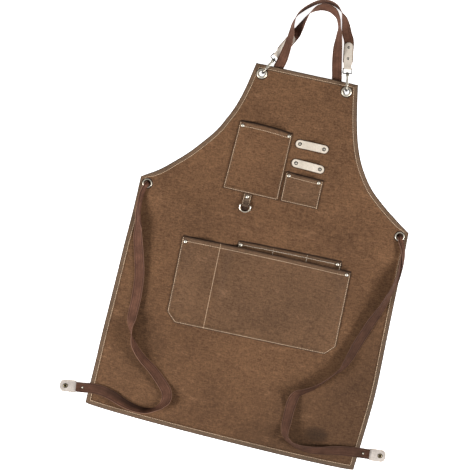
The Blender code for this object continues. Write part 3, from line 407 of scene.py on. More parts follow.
def painted_shade_by_place(finish, colour):
    """Painted shade: darker towards the hem, darkest in the lower right corner, with a painted shadow by the
    right tie's bend.
    """
    x, y = finish.apart(finish.place())[:2]
    corner = finish.limited(x * 0.75 - y * 0.66, 0.06, 0.27, 0.0, 0.42)
    hem = finish.limited(y, -0.12, 0.56, 0.13, 0.0)
    bend = finish.near(finish.place((1.0, 1.6, 0.0)), (0.208, -0.304), 0.012, 0.055, 0.76)
    return finish.blended(finish.most(finish.most(corner, hem), bend), colour, PAINTED_SHADE_BROWN)


def canvas_finish(name, light, dark, turn, fold, seam_stitch, rubbed, mouth, rings=(), strips=()):
    """Waxed plain-weave canvas: slubs along both threads, cracked wax, greyer where a hem or seam is rubbed,
    with painted shade along the stitches, at the edges, at and above the pockets' mouths, round rings and
    along strips.

    The first measure is the way in from the edge. The second is the way past the mouth's stitches on a
    pocket, and the way above the pockets' mouths on the panel.
    """
    finish = Finish(name)
    at = finish.place(turn=(0.0, 0.0, turn))
    x, y = finish.apart(at)[:2]
    inside, past_stitch = finish.along()
    broad = finish.clouds(at, 7.0, 3.0, 0.55)
    mottle = finish.clouds(at, 110.0, 4.0, 0.7)
    grain = finish.clouds(at, 330.0, 3.0, 0.7)
    slub_across = finish.clouds(finish.place((100.0, 400.0, 110.0), (0.0, 0.0, turn)), 1.0, 3.0, 0.65)
    slub_along = finish.clouds(finish.place((380.0, 140.0, 110.0), (0.0, 0.0, turn)), 1.0, 3.0, 0.6)
    tone = broad * 0.20 + mottle * 0.08 + grain * 0.27 + slub_across * 0.29 + slub_along * 0.16
    colour = finish.blended(finish.limited(tone, 0.365, 0.675), dark, light)
    colour = painted_shade_by_place(finish, colour)
    crack = finish.clouds(finish.place((14.0, 40.0, 14.0), (0.0, 0.0, 0.6)), 1.0, 7.0, 0.8)
    crack = finish.limited(crack, 0.57, 0.66, 0.0, 0.24)
    colour = finish.blended(crack, colour, [min(1.0, c * 1.55 + 0.02) for c in light])
    hem = finish.limited(inside, fold - 0.0006, fold + 0.0004, 1.0, 0.0)
    if mouth:
        hem = finish.most(hem, finish.limited(past_stitch, 0.0006, 0.0018, 1.0, 0.0))
    colour = finish.blended(hem * (0.3 + mottle) * rubbed, colour, RUBBED_WAX)
    # Painted shade along the sunk line of the stitches
    sewn = finish.limited(finish.off(inside, seam_stitch), 0.0003, 0.0018, 1.0, 0.0)
    # Painted shade at the cloth's edges
    rim = finish.limited(inside, 0.0008, 0.0024, 1.0, 0.0) * 0.74
    if mouth:
        sewn = finish.most(sewn, finish.limited(finish.off(past_stitch, 0.0), 0.0003, 0.0018, 1.0, 0.0))
        # Painted shade along a pocket's folded mouth
        rim = finish.most(rim, finish.limited(past_stitch, 0.0010 - mouth, 0.0018 - mouth, 0.9, 0.0))
    else:
        # Painted shadow on the panel just above the pockets' mouths
        rim = finish.most(rim, finish.limited(past_stitch, 0.0014, 0.0034, 0.92, 0.0))
    flat = finish.place(FLAT)
    # Painted shade round grommets and the ring and along strips, where metal and leather shade the cloth
    for centre, radius in rings:
        rim = finish.most(rim, finish.near(flat, centre, radius + 0.0012, radius + 0.0026, 0.92))
    for strip in strips:
        rim = finish.most(rim, finish.beside(strip, 0.0008, 0.0032, 0.86))
    colour = finish.blended(sewn * 0.6, colour, SEAM_SHADE)
    colour = finish.blended(rim, colour, EDGE_SHADE)
    thread = 2 * math.pi / THREAD_PITCH
    weave = finish.sine(x * thread) * finish.sine(y * thread)
    normal = finish.relief(weave, THREAD_DEPTH, 0.8)
    slubs = mottle * 0.6 + grain * 0.4 + slub_across * 0.4 + slub_along * 0.4
    normal = finish.relief(slubs, SLUB_DEPTH, 0.8, normal)
    rough = 0.56 + broad * 0.16 + grain * 0.14
    return finish.finished(Base_Color=colour, Roughness=rough, Normal=normal, Specular_IOR_Level=0.16)


WEBBING_LIGHT, WEBBING_DARK = (0.157, 0.0705, 0.0435), (0.066, 0.029, 0.0175)
WEBBING_BAND = (0.034, 0.015, 0.009)
WEBBING_STRIPE = (0.050, 0.021, 0.012)
PAINTED_EDGE_HIGHLIGHT = (0.20, 0.105, 0.070)
RIB_PITCH = 0.0020
PICK_PITCH = 0.0014
RIB_DEPTH = 0.00022


def webbing_finish(name):
    """Tight cotton webbing: long ribs, short picks across them, a dark band by each edge, a painted highlight
    along each edge, and painted shade on parts of the ties.

    The measures are the way across from the webbing's middle and the way along it.
    """
    finish = Finish(name)
    across, along = finish.along()
    at = finish.place()
    mottle = finish.clouds(at, 45.0, 4.0, 0.65)
    grain = finish.clouds(at, 500.0, 2.0)
    ribs = finish.sine(across * (2 * math.pi / RIB_PITCH))
    picks = finish.sine(along * (2 * math.pi / PICK_PITCH) + ribs * 1.2)
    tone = mottle * 0.6 + grain * 0.25 + picks * 0.05 + 0.08
    colour = finish.blended(finish.limited(tone, 0.3, 0.7), WEBBING_DARK, WEBBING_LIGHT)
    from_middle = finish.off(across, 0.0)
    band = finish.limited(from_middle, 0.0078, 0.0090) * finish.limited(from_middle, 0.0098, 0.0104, 1.0, 0.0)
    colour = finish.blended(band * 0.8, colour, WEBBING_BAND)
    # Painted highlight along the webbing's outer edge
    colour = finish.blended(finish.limited(from_middle, 0.0099, 0.0104, 0.0, 0.7), colour, PAINTED_EDGE_HIGHLIGHT)
    stripe = finish.limited(finish.off(from_middle, 0.0040), 0.0004, 0.0016, 0.35, 0.0)
    colour = finish.blended(stripe, colour, WEBBING_STRIPE)
    # Painted shade: the right tie, the left tie's end and the upper half of the left tie's bend are darkened
    # as if shaded
    x, y = finish.apart(at)[:2]
    right_tie = finish.limited(x, 0.08, 0.18) * finish.limited(y, 0.18, 0.30, 0.46, 0.0)
    left_end = finish.limited(x, -0.290, -0.240, 0.36, 0.0) * finish.limited(y, -0.16, -0.06, 1.0, 0.0)
    left_bend = finish.near(finish.place(FLAT), (-0.220, -0.222), 0.030, 0.080, 0.70)
    left_bend = left_bend * finish.limited(across, -0.007, 0.003)
    colour = finish.blended(finish.most(finish.most(right_tie, left_end), left_bend), colour, PAINTED_SHADE_BROWN)
    normal = finish.relief(ribs * 0.5 + picks * 0.5, RIB_DEPTH, 0.9)
    return finish.finished(Base_Color=colour, Roughness=0.72 + grain * 0.12, Normal=normal,
                           Specular_IOR_Level=0.14)


LEATHER_RIM = (0.42, 0.30, 0.20)
PORE_DEPTH = 0.00018


def leather_finish(name, light, dark):
    """Natural vegetable-tanned leather: cream, faintly pink, with fine pores and a brown cut edge."""
    finish = Finish(name)
    at = finish.place()
    broad = finish.clouds(at, 40.0, 3.0)
    pores = finish.node("ShaderNodeTexVoronoi", {"feature": "F1"}, {"Vector": at, "Scale": 1300.0})
    grain = finish.clouds(at, 320.0, 4.0, 0.6)
    colour = finish.blended(finish.limited(broad * 0.6 + grain * 0.4, 0.34, 0.66), dark, light)
    inside = finish.along()[0]
    rim = finish.limited(inside, 0.0003, 0.0012, 1.0, 0.0)
    colour = finish.blended(rim * 0.6, colour, LEATHER_RIM)
    normal = finish.relief(pores * 0.6 + grain * 0.7, PORE_DEPTH, 0.6)
    return finish.finished(Base_Color=colour, Roughness=0.46 + grain * 0.18, Normal=normal,
                           Specular_IOR_Level=0.4)


PAINTED_DARK_REFLECTION = (0.035, 0.028, 0.022)
SCRATCH_DEPTH = 0.00004


def nickel_finish(name, rough, tint, bright_range):
    """Nickel plate, handled: soft smears, a few fine scratches, and painted dark reflections and shade
    outside its bright range.

    The measure is the way from the axis on a turned piece, and how far a place faces up on a bent one.
    """
    finish = Finish(name)
    at = finish.place()
    smear = finish.clouds(at, 180.0, 3.0)
    scratch = finish.clouds(finish.place((250.0, 2600.0, 250.0)), 1.0, 2.0)
    colour = finish.blended(finish.limited(smear, 0.35, 0.7), [c * 0.82 for c in tint], tint)
    measure = finish.along()[0]
    # Painted dark reflections and shade: on the sides of a bent wire and at the edges of a turned piece
    start, end, fade = bright_range
    painted_dark = finish.most(finish.limited(measure, start - fade, start, 1.0, 0.0),
                          finish.limited(measure, end, end + fade))
    colour = finish.blended(painted_dark, colour, PAINTED_DARK_REFLECTION)
    return finish.finished(Base_Color=colour, Metallic=1.0, Roughness=rough + smear * 0.14 + scratch * 0.06,
                           Normal=finish.relief(scratch, SCRATCH_DEPTH, 0.3))


def thread_finish(name, colour):
    """Waxed sewing thread with its twist."""
    finish = Finish(name)
    at = finish.place()
    twist = finish.sine(finish.clouds(at, 900.0) * 9.0)
    soiled = finish.limited(finish.clouds(at, 160.0), 0.3, 0.7)
    colour = finish.blended(soiled, [c * 0.72 for c in colour], colour)
    return finish.finished(Base_Color=colour, Roughness=0.75, Specular_IOR_Level=0.15,
                           Normal=finish.relief(twist, TWIST_DEPTH, 0.4))


WHITE = (1.0, 1.0, 1.0)
PAPER_LIGHT, PAPER_DARK = (0.96, 0.96, 0.96), (0.93, 0.93, 0.93)
HOLE_SHADE = (0.030, 0.022, 0.015)


def floor_finish():
    """White paper, with painted shade only where it shows through the waist grommets and beside the hooks in
    the bib's.
    """
    finish = Finish("white_paper")
    colour = finish.blended(finish.clouds(finish.place(), 60.0), PAPER_DARK, PAPER_LIGHT)
    flat = finish.place(FLAT)
    # Painted shade: dim discs where the floor shows through the grommets
    dim = 0.0
    for (side, level), centre in GROMMETS.items():
        if level:
            beside = centre + Vector((math.cos(HOOK_TURN[side]), math.sin(HOOK_TURN[side]))) * 0.0042
            dim = finish.most(dim, finish.near(flat, beside, 0.0022, 0.0046, 0.95))
        else:
            dim = finish.most(dim, finish.near(flat, centre, 0.0085, 0.0100, 1.0))
    return finish.finished(Base_Color=finish.blended(dim, colour, HOLE_SHADE), Roughness=0.9,
                           Specular_IOR_Level=0.1, Emission_Strength=0.95,
                           Emission_Color=finish.blended(dim, WHITE, HOLE_SHADE))


SEAM = 0.006
SEAM_STITCH = 0.0026
WAX_LIGHT, WAX_DARK = (0.218, 0.110, 0.0525), (0.069, 0.032, 0.0144)
GREY_LIGHT, GREY_DARK = (0.206, 0.109, 0.0560), (0.068, 0.0345, 0.0168)
TAB_LIGHT, TAB_DARK = (0.190, 0.125, 0.080), (0.065, 0.042, 0.026)
BIB_CANVAS = canvas_finish("waxed_canvas_bib_pockets", WAX_LIGHT, WAX_DARK, 0.2, SEAM, SEAM_STITCH,
                           0.16, 0.0105)
SKIRT_CANVAS = canvas_finish("waxed_canvas_skirt_pockets", GREY_LIGHT, GREY_DARK, -0.25, SEAM, SEAM_STITCH,
                             0.16, 0.0100)
TAB_CANVAS = canvas_finish("waxed_canvas_tab", TAB_LIGHT, TAB_DARK, 0.5, 0.0, 0.0018, 0.0, 0.0)
BROWN_WEBBING = webbing_finish("brown_webbing")
CREAM_LEATHER = leather_finish("cream_leather", (0.65, 0.575, 0.485), (0.54, 0.465, 0.38))
TAB_LEATHER = leather_finish("worn_cream_leather", (0.57, 0.505, 0.43), (0.46, 0.40, 0.335))
GREY_LEATHER = leather_finish("greyed_leather", (0.50, 0.445, 0.40), (0.33, 0.29, 0.26))
CREAM_NICKEL, GREY_NICKEL = (0.95, 0.86, 0.71), (0.66, 0.61, 0.53)
BRIGHT_WIRE = nickel_finish("bright_nickel_wire", 0.34, CREAM_NICKEL, (0.50, 1.1, 0.30))
STEEL_WIRE = nickel_finish("pale_nickel_wire", 0.34, (0.86, 0.79, 0.67), (0.86, 1.1, 0.24))
EYE_STEEL = nickel_finish("dark_nickel_wire", 0.30, (0.075, 0.070, 0.064), (0.94, 1.1, 0.40))
BRIGHT_CAP = nickel_finish("bright_nickel_cap", 0.36, (1.0, 0.93, 0.80), (-1.0, 0.0031, 0.0006))
STEEL_CAP = nickel_finish("grey_nickel_cap", 0.30, (0.84, 0.78, 0.68), (-1.0, 0.0019, 0.0009))
TIE_CAP = nickel_finish("bright_nickel_small_cap", 0.38, CREAM_NICKEL, (-1.0, 0.0015, 0.0005))
SMALL_CAP = nickel_finish("grey_nickel_small_cap", 0.24, GREY_NICKEL, (-1.0, 0.0017, 0.0005))
DARK_CAP = nickel_finish("dark_brass_cap", 0.32, (0.40, 0.32, 0.19), (0.0027, 0.0037, 0.0006))
BIB_RING = nickel_finish("bright_nickel_bib_ring", 0.30, CREAM_NICKEL, (0.0073, 0.0107, 0.0006))
WAIST_RING = nickel_finish("bright_nickel_waist_ring", 0.30, CREAM_NICKEL, (0.0084, 0.0098, 0.0008))
TAN_THREAD = thread_finish("tan_thread", (0.86, 0.62, 0.41))
# Painted light: the pen pocket's tan thread made lighter to stand out against the lower pocket's shadow
THREAD_PAINTED_LIGHTER = thread_finish("pale_thread", (0.95, 0.80, 0.62))


# Making pieces

def mesh_of(shape, name):
    """The finished bmesh as a mesh."""
    mesh = bpy.data.meshes.new(name)
    shape.to_mesh(mesh)
    shape.free()
    return mesh


def measure_faces(shape, measures):
    """Writes two measures at each corner of the faces, as measures(vertex) gives them."""
    layer = shape.loops.layers.uv.new("measures")
    for face in shape.faces:
        for loop in face.loops:
            loop[layer].uv = measures(loop.vert)


def add_piece(name, mesh, finish, nodes, slot, body="root"):
    piece = bpy.data.objects.new(name, mesh)
    bpy.context.scene.collection.objects.link(piece)
    mesh.materials.clear()
    mesh.materials.append(finish)
    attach(piece, body)
    if nodes:
        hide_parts(*nodes)
    return piece


def set_in_mesh(piece):
    """Applies a piece's modifiers to its mesh."""
    bpy.context.view_layer.update()
    made = bpy.data.meshes.new_from_object(piece.evaluated_get(bpy.context.evaluated_depsgraph_get()))
    piece.modifiers.clear()
    piece.data = made
    return piece


def surface_of(piece):
    bpy.context.view_layer.update()
    return BVHTree.FromObject(piece, bpy.context.evaluated_depsgraph_get())


def height_on(surface, x, y):
    """The surface's top at a place, or the floor's."""
    hit = surface.ray_cast(Vector((x, y, 0.2)), Vector((0, 0, -1)))[0]
    return hit.z if hit else 0.0


def cloth(name, rows, thickness, finish, nodes, slot, measures, weights=None, offset=1.0, edge=0.0):
    """A grid through rows of points that is given its thickness, with rounded edges if edge is given.

    Weights are the thickness at each point where it changes, and measures(row, column) are the finish's.
    """
    down, across = len(rows), len(rows[0])
    shape = bmesh.new()
    bmesh.ops.create_grid(shape, x_segments=across - 1, y_segments=down - 1, size=0.5)
    order = [(round((v.co.y + 0.5) * (down - 1)), round((v.co.x + 0.5) * (across - 1))) for v in shape.verts]
    shape.verts.index_update()
    measure_faces(shape, lambda vertex: measures(*order[vertex.index]))
    for vertex, (row, column) in zip(shape.verts, order):
        vertex.co = Vector(rows[row][column])
    mesh = mesh_of(shape, name)
    mesh.shade_smooth()
    piece = add_piece(name, mesh, finish, nodes, slot)
    solid = piece.modifiers.new("thickness", "SOLIDIFY")
    solid.thickness = thickness
    solid.offset = offset
    solid.use_even_offset = False
    if weights:
        group = piece.vertex_groups.new(name="layers")
        for index, (row, column) in enumerate(order):
            group.add([index], weights[row][column] / thickness, "REPLACE")
        solid.vertex_group = group.name
    if edge:
        bevel = piece.modifiers.new("worn_edge", "BEVEL")
        bevel.width = edge
        bevel.segments = 2
        bevel.limit_method = "ANGLE"
        bevel.angle_limit = math.radians(50)
    set_in_mesh(piece)
    piece.data.set_sharp_from_angle(angle=math.radians(42))
    return piece


def turned_shape(profile, sides):
    """A profile of (radius, height) points spun about Z, closed where it doesn't reach the axis."""
    shape = bmesh.new()
    ring = [shape.verts.new((radius, 0.0, height)) for radius, height in profile]
    edges = [shape.edges.new(pair) for pair in zip(ring, ring[1:])]
    if min(radius for radius, height in profile) > 0:
        edges.append(shape.edges.new((ring[-1], ring[0])))
    bmesh.ops.spin(shape, geom=ring + edges, cent=(0, 0, 0), axis=(0, 0, 1), angle=2 * math.pi, steps=sides,
                   use_merge=True)
    bmesh.ops.remove_doubles(shape, verts=shape.verts, dist=0.000001)
    bmesh.ops.recalc_face_normals(shape, faces=shape.faces)
    return shape


def turned_mesh(profile, sides, matrix):
    shape = turned_shape(profile, sides)
    bmesh.ops.transform(shape, matrix=matrix, verts=shape.verts)
    return mesh_of(shape, "turning")


def turned(name, profile, sides, matrix, finish, nodes):
    """A turned metal piece, measured by the distance from its axis."""
    shape = turned_shape(profile, sides)
    measure_faces(shape, lambda vertex: (math.hypot(vertex.co.x, vertex.co.y), vertex.co.z))
    bmesh.ops.transform(shape, matrix=matrix, verts=shape.verts)
    mesh = mesh_of(shape, name)
    mesh.shade_smooth()
    mesh.set_sharp_from_angle(angle=math.radians(40))
    return add_piece(name, mesh, finish, nodes, "nickel")


def shift(x, y, z):
    return Matrix.Translation((x, y, z))


def wire_mesh(name, points, radius, closed=False):
    """A round wire bent through points, as a mesh."""
    curve = bpy.data.curves.new(name, "CURVE")
    curve.dimensions = "3D"
    curve.bevel_depth = radius
    curve.bevel_resolution = 4
    curve.use_fill_caps = True
    spline = curve.splines.new("POLY")
    spline.points.add(len(points) - 1)
    for place, point in zip(spline.points, points):
        place.co = (*point, 1.0)
    spline.use_cyclic_u = closed
    bent = bpy.data.objects.new(name, curve)
    bpy.context.scene.collection.objects.link(bent)
    bpy.context.view_layer.update()
    mesh = bpy.data.meshes.new_from_object(bent.evaluated_get(bpy.context.evaluated_depsgraph_get()))
    bpy.data.objects.remove(bent)
    mesh.shade_smooth()
    return mesh


def rounded(points, turns=4, closed=False):
    """Points with each corner eased along a smooth curve."""
    path = []
    count = len(points)
    for index in range(count if closed else count - 1):
        around = [points[(index + step) % count] if closed else points[min(max(index + step, 0), count - 1)]
                  for step in (-1, 0, 1, 2)]
        for step in range(turns):
            path.append(Vector([curve_through(*values, step / turns) for values in zip(*around)]))
    if not closed:
        path.append(Vector(points[-1]))
    return path


def joined(name, meshes, finish, nodes, body="root"):
    """Several meshes as one piece, measured by how far each place faces up."""
    shape = bmesh.new()
    for mesh in meshes:
        shape.from_mesh(mesh)
    shape.normal_update()
    measure_faces(shape, lambda vertex: (vertex.normal.z, vertex.co.z))
    mesh = mesh_of(shape, name)
    mesh.shade_smooth()
    mesh.set_sharp_from_angle(angle=math.radians(40))
    return add_piece(name, mesh, finish, nodes, "nickel", body)


def pin_mesh(start, end, radius, sides=20, chamfer=0.0002):
    """A short round bar with eased ends."""
    start, end = Vector(start), Vector(end)
    length = (end - start).length
    profile = [(0.0, length), (radius - chamfer, length), (radius, length - chamfer), (radius, chamfer),
               (radius - chamfer, 0.0), (0.0, 0.0)]
    turn = Vector((0, 0, 1)).rotation_difference((end - start).normalized()).to_matrix().to_4x4()
    return turned_mesh(profile, sides, Matrix.Translation(start) @ turn)


def block_mesh(corners, bevel):
    """A block from eight corners, with eased edges; corners go round the bottom, then the top."""
    shape = bmesh.new()
    bmesh.ops.create_cube(shape, size=1.0)
    order = [(-1, -1, -1), (1, -1, -1), (1, 1, -1), (-1, 1, -1),
             (-1, -1, 1), (1, -1, 1), (1, 1, 1), (-1, 1, 1)]
    for vertex in shape.verts:
        sign = tuple(1 if value > 0 else -1 for value in vertex.co)
        vertex.co = Vector(corners[order.index(sign)])
    shape.normal_update()
    bmesh.ops.bevel(shape, geom=list(shape.edges), offset=bevel, segments=3, profile=0.5, affect="EDGES",
                    material=-1)
    return mesh_of(shape, "block")


# Stitches

STITCH_PITCH = 0.0038
STITCH_LENGTH = 0.0034
STITCH_WIDTH = 0.0010
STITCH_RISE = 0.0006
STITCHES_AT_ONCE = 40


def stitch_places(surface, path):
    """Where each stitch along a path lies on a surface, and how it is turned."""
    places = []
    path = [Vector(point) for point in path]
    carried = STITCH_PITCH / 2
    for start, end in zip(path, path[1:]):
        run = (end - start).length
        if run < 1e-6:
            continue
        way = (end - start) / run
        while carried < run:
            middle = start + way * carried
            near, far = middle - way * STITCH_LENGTH / 2, middle + way * STITCH_LENGTH / 2
            low, high = (height_on(surface, p.x, p.y) for p in (near, far))
            centre = Vector((middle.x, middle.y, (low + high) / 2 + STITCH_RISE * 0.15))
            ahead = Vector((way.x * STITCH_LENGTH, way.y * STITCH_LENGTH, high - low)).normalized()
            side = ahead.cross(Vector((0, 0, 1))).normalized()
            up = side.cross(ahead)
            turn = Matrix((side * STITCH_WIDTH / 2, up * STITCH_RISE / 2, ahead * STITCH_LENGTH / 2))
            places.append(Matrix.Translation(centre) @ turn.transposed().to_4x4())
            carried += STITCH_PITCH
        carried -= run
    return places


def sew(name, carrier, lines, finish=TAN_THREAD):
    """All of a piece's stitches as one mesh, made a few at a time."""
    surface = surface_of(carrier)
    places = [place for line in lines for place in stitch_places(surface, line)]
    whole = bmesh.new()
    for first in range(0, len(places), STITCHES_AT_ONCE):
        few = bmesh.new()
        for place in places[first:first + STITCHES_AT_ONCE]:
            bmesh.ops.create_uvsphere(few, u_segments=6, v_segments=5, radius=1.0, matrix=place)
        some = mesh_of(few, "stitches")
        whole.from_mesh(some)
        bpy.data.meshes.remove(some)
    mesh = mesh_of(whole, name)
    mesh.shade_smooth()
    add_piece(name, mesh, finish, (), "canvas")


# The panel

def waist_y(side):
    return WAIST + side * WAIST_SKEW / 2


def edge_point(side, level):
    """A point of the left (-1) or right (1) edge: level 1 is the bib's top, 0 the waist, -1 the hem."""
    if level >= 0:
        flare = read_table(ARMHOLE, "rise", "left_flare" if side < 0 else "right_flare", level)
        half = mix(BIB_WIDTH, WAIST_WIDTH, flare) / 2
        top = WAIST + BIB_LENGTH + side * TOP_SKEW / 2
        return Vector((side * half + BIB_SHIFT * min(level * 2, 1.0), mix(waist_y(side), top, level)))
    bow = SIDE_BOW * read_table(SKIRT, "drop", "left_bow" if side < 0 else "right_bow", -level)
    half = mix(WAIST_WIDTH, HEM_WIDTH, -level) / 2 + bow
    bottom = WAIST - SKIRT_LENGTH + side * BOTTOM_SKEW / 2
    return Vector((side * half, mix(waist_y(side), bottom, -level)))


def grommet_centre(side, level):
    return edge_point(side, level) - Vector((side * GROMMET_IN[side, level], GROMMET_DOWN[level]))


GROMMETS = {(side, level): grommet_centre(side, level) for side in (-1, 1) for level in (0, 1)}


def near_grommet(x, y, level, reach, fade):
    nearest = min(math.hypot(x - GROMMETS[side, level].x, y - GROMMETS[side, level].y) for side in (-1, 1))
    return smooth(1.0 - (nearest - reach) / fade)


Crease = namedtuple("Crease", "x0 y0 x1 y1 rise width")
CREASES = [
    Crease(-0.235, 0.245, -0.120, 0.215, 0.0010, 0.010),
    Crease(0.120, 0.232, 0.250, 0.205, 0.0010, 0.012),
    Crease(-0.265, 0.040, -0.215, -0.120, 0.0012, 0.012),
    Crease(-0.150, -0.060, 0.020, -0.090, 0.0009, 0.014),
    Crease(0.060, -0.050, 0.200, -0.130, 0.0011, 0.014),
    Crease(-0.060, 0.480, 0.060, 0.500, 0.0007, 0.012),
    Crease(0.110, 0.330, 0.150, 0.420, 0.0008, 0.010),
]


def crease_height(x, y):
    height = 0.0
    for crease in CREASES:
        run_x, run_y = crease.x1 - crease.x0, crease.y1 - crease.y0
        length = math.hypot(run_x, run_y)
        share = ((x - crease.x0) * run_x + (y - crease.y0) * run_y) / length ** 2
        off = ((y - crease.y0) * run_x - (x - crease.x0) * run_y) / length
        if -0.4 < share < 1.4 and abs(off) < crease.width * 3:
            height += crease.rise * smooth(1.4 - abs(share - 0.5) * 2) * bell(off, crease.width)
    return height


def ripple(x, y):
    """The canvas' soft unevenness, none of it round the grommets."""
    flat = max(near_grommet(x, y, 1, 0.018, 0.050), near_grommet(x, y, 0, 0.018, 0.050))
    broad = 0.5 + 0.9 * noise.noise(Vector((x * 7.0, y * 7.0, 0.3)))
    fine = 0.5 + 0.8 * noise.noise(Vector((x * 24.0, y * 24.0, 4.1)))
    return (0.0014 * smooth(broad) + 0.0005 * smooth(fine) + crease_height(x, y)) * (1.0 - flat)


def cloth_underside(x, y):
    height = BIB_LIFT * smooth((y - (WAIST - RAMP_TOP - RAMP_LENGTH)) / RAMP_LENGTH)
    height = mix(height, BIB_CORNER_LIFT, near_grommet(x, y, 1, PLATEAU, PLATEAU_FADE))
    height = mix(height, SIDE_CORNER_LIFT, near_grommet(x, y, 0, PLATEAU, PLATEAU_FADE))
    drop = (WAIST - y) / SKIRT_LENGTH
    for wave in EDGE_WAVES:
        along = smooth(1.0 - abs(drop - wave.drop) / wave.spread)
        if along > 0 and x * wave.side > 0:
            inward = edge_point(wave.side, -min(max(drop, 0), 1)).x * wave.side - x * wave.side
            height += wave.rise * along * smooth(1.0 - inward / WAVE_REACH)
    return height + ripple(x, y)


def flat_top(x, y):
    """The canvas' upper face on the stretches that carry pockets."""
    bib = smooth((y - (WAIST - RAMP_TOP - RAMP_LENGTH)) / RAMP_LENGTH)
    return BIB_LIFT * bib + CANVAS + ripple(x, y)


EDGE_STEPS = (0.0, 0.0003, 0.0010, 0.0030, 0.0055, 0.0076, 0.0087, 0.0094, 0.0101, 0.0108, 0.0114, 0.0121,
              0.0150)
PANEL_COLUMNS = 112
PANEL_STEP = 0.0046


def panel_thickness(x, y, inside, turn):
    """The canvas with its folded hem, the sunk line of stitches and the puckers along it."""
    hem = smooth((HEM_FOLD + HEM_STEP - inside) / HEM_STEP)
    corner = max(near_grommet(x, y, 1, 0.018, 0.012), near_grommet(x, y, 0, 0.018, 0.012))
    thickness = mix(CANVAS, HEM_THICKNESS, max(hem, corner))
    pucker = 0.5 + 0.5 * noise.noise(Vector((x * 130.0, y * 130.0, turn)))
    thickness -= GROOVE * bell(inside - HEM_STITCH, GROOVE_WIDTH) * (0.5 + pucker)
    thickness += 0.0002 * (pucker - 0.5) * smooth((HEM_FOLD + 0.004 - inside) / 0.006)
    thickness -= 0.0009 * max(0.0, 1.0 - inside / 0.0011) ** 2
    return max(thickness, 0.0006)


def above_mouths(x, y):
    """How far a place lies above the nearest pocket's mouth, or a large number away from them all."""
    nearest = 0.05
    for pocket in POCKETS:
        left, right = Vector(pocket.corners[0]), Vector(pocket.corners[1])
        share = (x - left.x) / (right.x - left.x)
        if 0.0 < share < 1.0:
            past = y - WAIST - mix(left.y, right.y, share) - pocket.mouth_wave * math.sin(math.pi * share)
            if past > -0.012:
                nearest = min(nearest, past)
    return nearest


def panel_insets(level):
    """How much longer than its width the hem is across a slanting edge, on the left and the right."""
    insets = []
    for side in (-1, 1):
        slope = edge_point(side, min(level + 0.02, 1.0)) - edge_point(side, max(level - 0.02, -1.0))
        insets.append(min(slope.length / max(slope.y, 0.3 * slope.length), 2.2))
    return insets


def make_panel():
    levels = [-1 + step / SKIRT_LENGTH for step in EDGE_STEPS]
    levels += steps(levels[-1], 0.0, PANEL_STEP / SKIRT_LENGTH)[1:]
    top = [1 - step / BIB_LENGTH for step in reversed(EDGE_STEPS)]
    levels += steps(0.0, top[0], PANEL_STEP / BIB_LENGTH)[1:-1] + top
    rows, weights, insides = [], [], []
    for level in levels:
        left, right = edge_point(-1, level), edge_point(1, level)
        width = right.x - left.x
        near, far = panel_insets(level)
        shares = [step * near / width for step in EDGE_STEPS]
        last = 1 - EDGE_STEPS[-1] * far / width
        shares += [mix(shares[-1], last, (i + 1) / (PANEL_COLUMNS + 1)) for i in range(PANEL_COLUMNS)]
        shares += [1 - step * far / width for step in reversed(EDGE_STEPS)]
        bow = BOTTOM_BOW * smooth((-level - 0.8) / 0.2) if level < 0 else 0.0
        end = min((level + 1) * SKIRT_LENGTH, (1 - level) * BIB_LENGTH)
        row, thick, inner_row = [], [], []
        for share in shares:
            point = left.lerp(right, share)
            y = point.y - bow * (4 * share * (1 - share)) ** 0.5
            inside = min(share * width / near, (1 - share) * width / far, end)
            row.append((point.x, y, cloth_underside(point.x, y)))
            thick.append(panel_thickness(point.x, y, inside, level > 0))
            inner_row.append(inside)
        rows.append(row)
        weights.append(thick)
        insides.append(inner_row)
    panel = cloth("panel", rows, HEM_THICKNESS, PANEL_CANVAS, ["apron_panel"], "canvas",
                  lambda row, column: (insides[row][column], above_mouths(*rows[row][column][:2])), weights)
    cutters = []
    for (_, level), centre in GROMMETS.items():
        radius = HOLE[level] + 0.0011
        mesh = turned_mesh([(0, 0.03), (radius, 0.03), (radius, -0.01), (0, -0.01)], 32, shift(*centre, 0))
        cutter = bpy.data.objects.new("hole_punch", mesh)
        bpy.context.scene.collection.objects.link(cutter)
        cutters.append(cutter)
        punch = panel.modifiers.new("hole", "BOOLEAN")
        punch.operation = "DIFFERENCE"
        punch.object = cutter
    set_in_mesh(panel)
    for cutter in cutters:
        bpy.data.objects.remove(cutter)
    panel.data.shade_smooth()
    panel.data.set_sharp_from_angle(angle=math.radians(42))
    return panel


def hem_line(inset):
    """The path of the hem's stitches, all round the panel."""
    low = [-1 + inset / SKIRT_LENGTH, 1 - (inset - 0.0015) / BIB_LENGTH]
    sides = {}
    for side, turn in ((-1, 0), (1, 1)):
        path = []
        for level in steps(low[0], low[1], 0.008):
            point = edge_point(side, level)
            drop = 0.0
            if level < -0.8:
                share = inset / HEM_WIDTH
                drop = BOTTOM_BOW * smooth((-level - 0.8) / 0.2) * (4 * share * (1 - share)) ** 0.5
            path.append(Vector((point.x - side * inset * panel_insets(level)[turn], point.y - drop)))
        sides[side] = path
    bottom = []
    for share in steps(0.0, 1.0, 0.02):
        left, right = edge_point(-1, low[0]), edge_point(1, low[0])
        share = mix(inset / HEM_WIDTH, 1 - inset / HEM_WIDTH, share)
        point = left.lerp(right, share)
        bow = BOTTOM_BOW * smooth((-low[0] - 0.8) / 0.2)
        bottom.append(Vector((point.x, point.y - bow * (4 * share * (1 - share)) ** 0.5)))
    top = [sides[-1][-1], sides[1][-1]]
    return [sides[-1], sides[1], bottom, top]


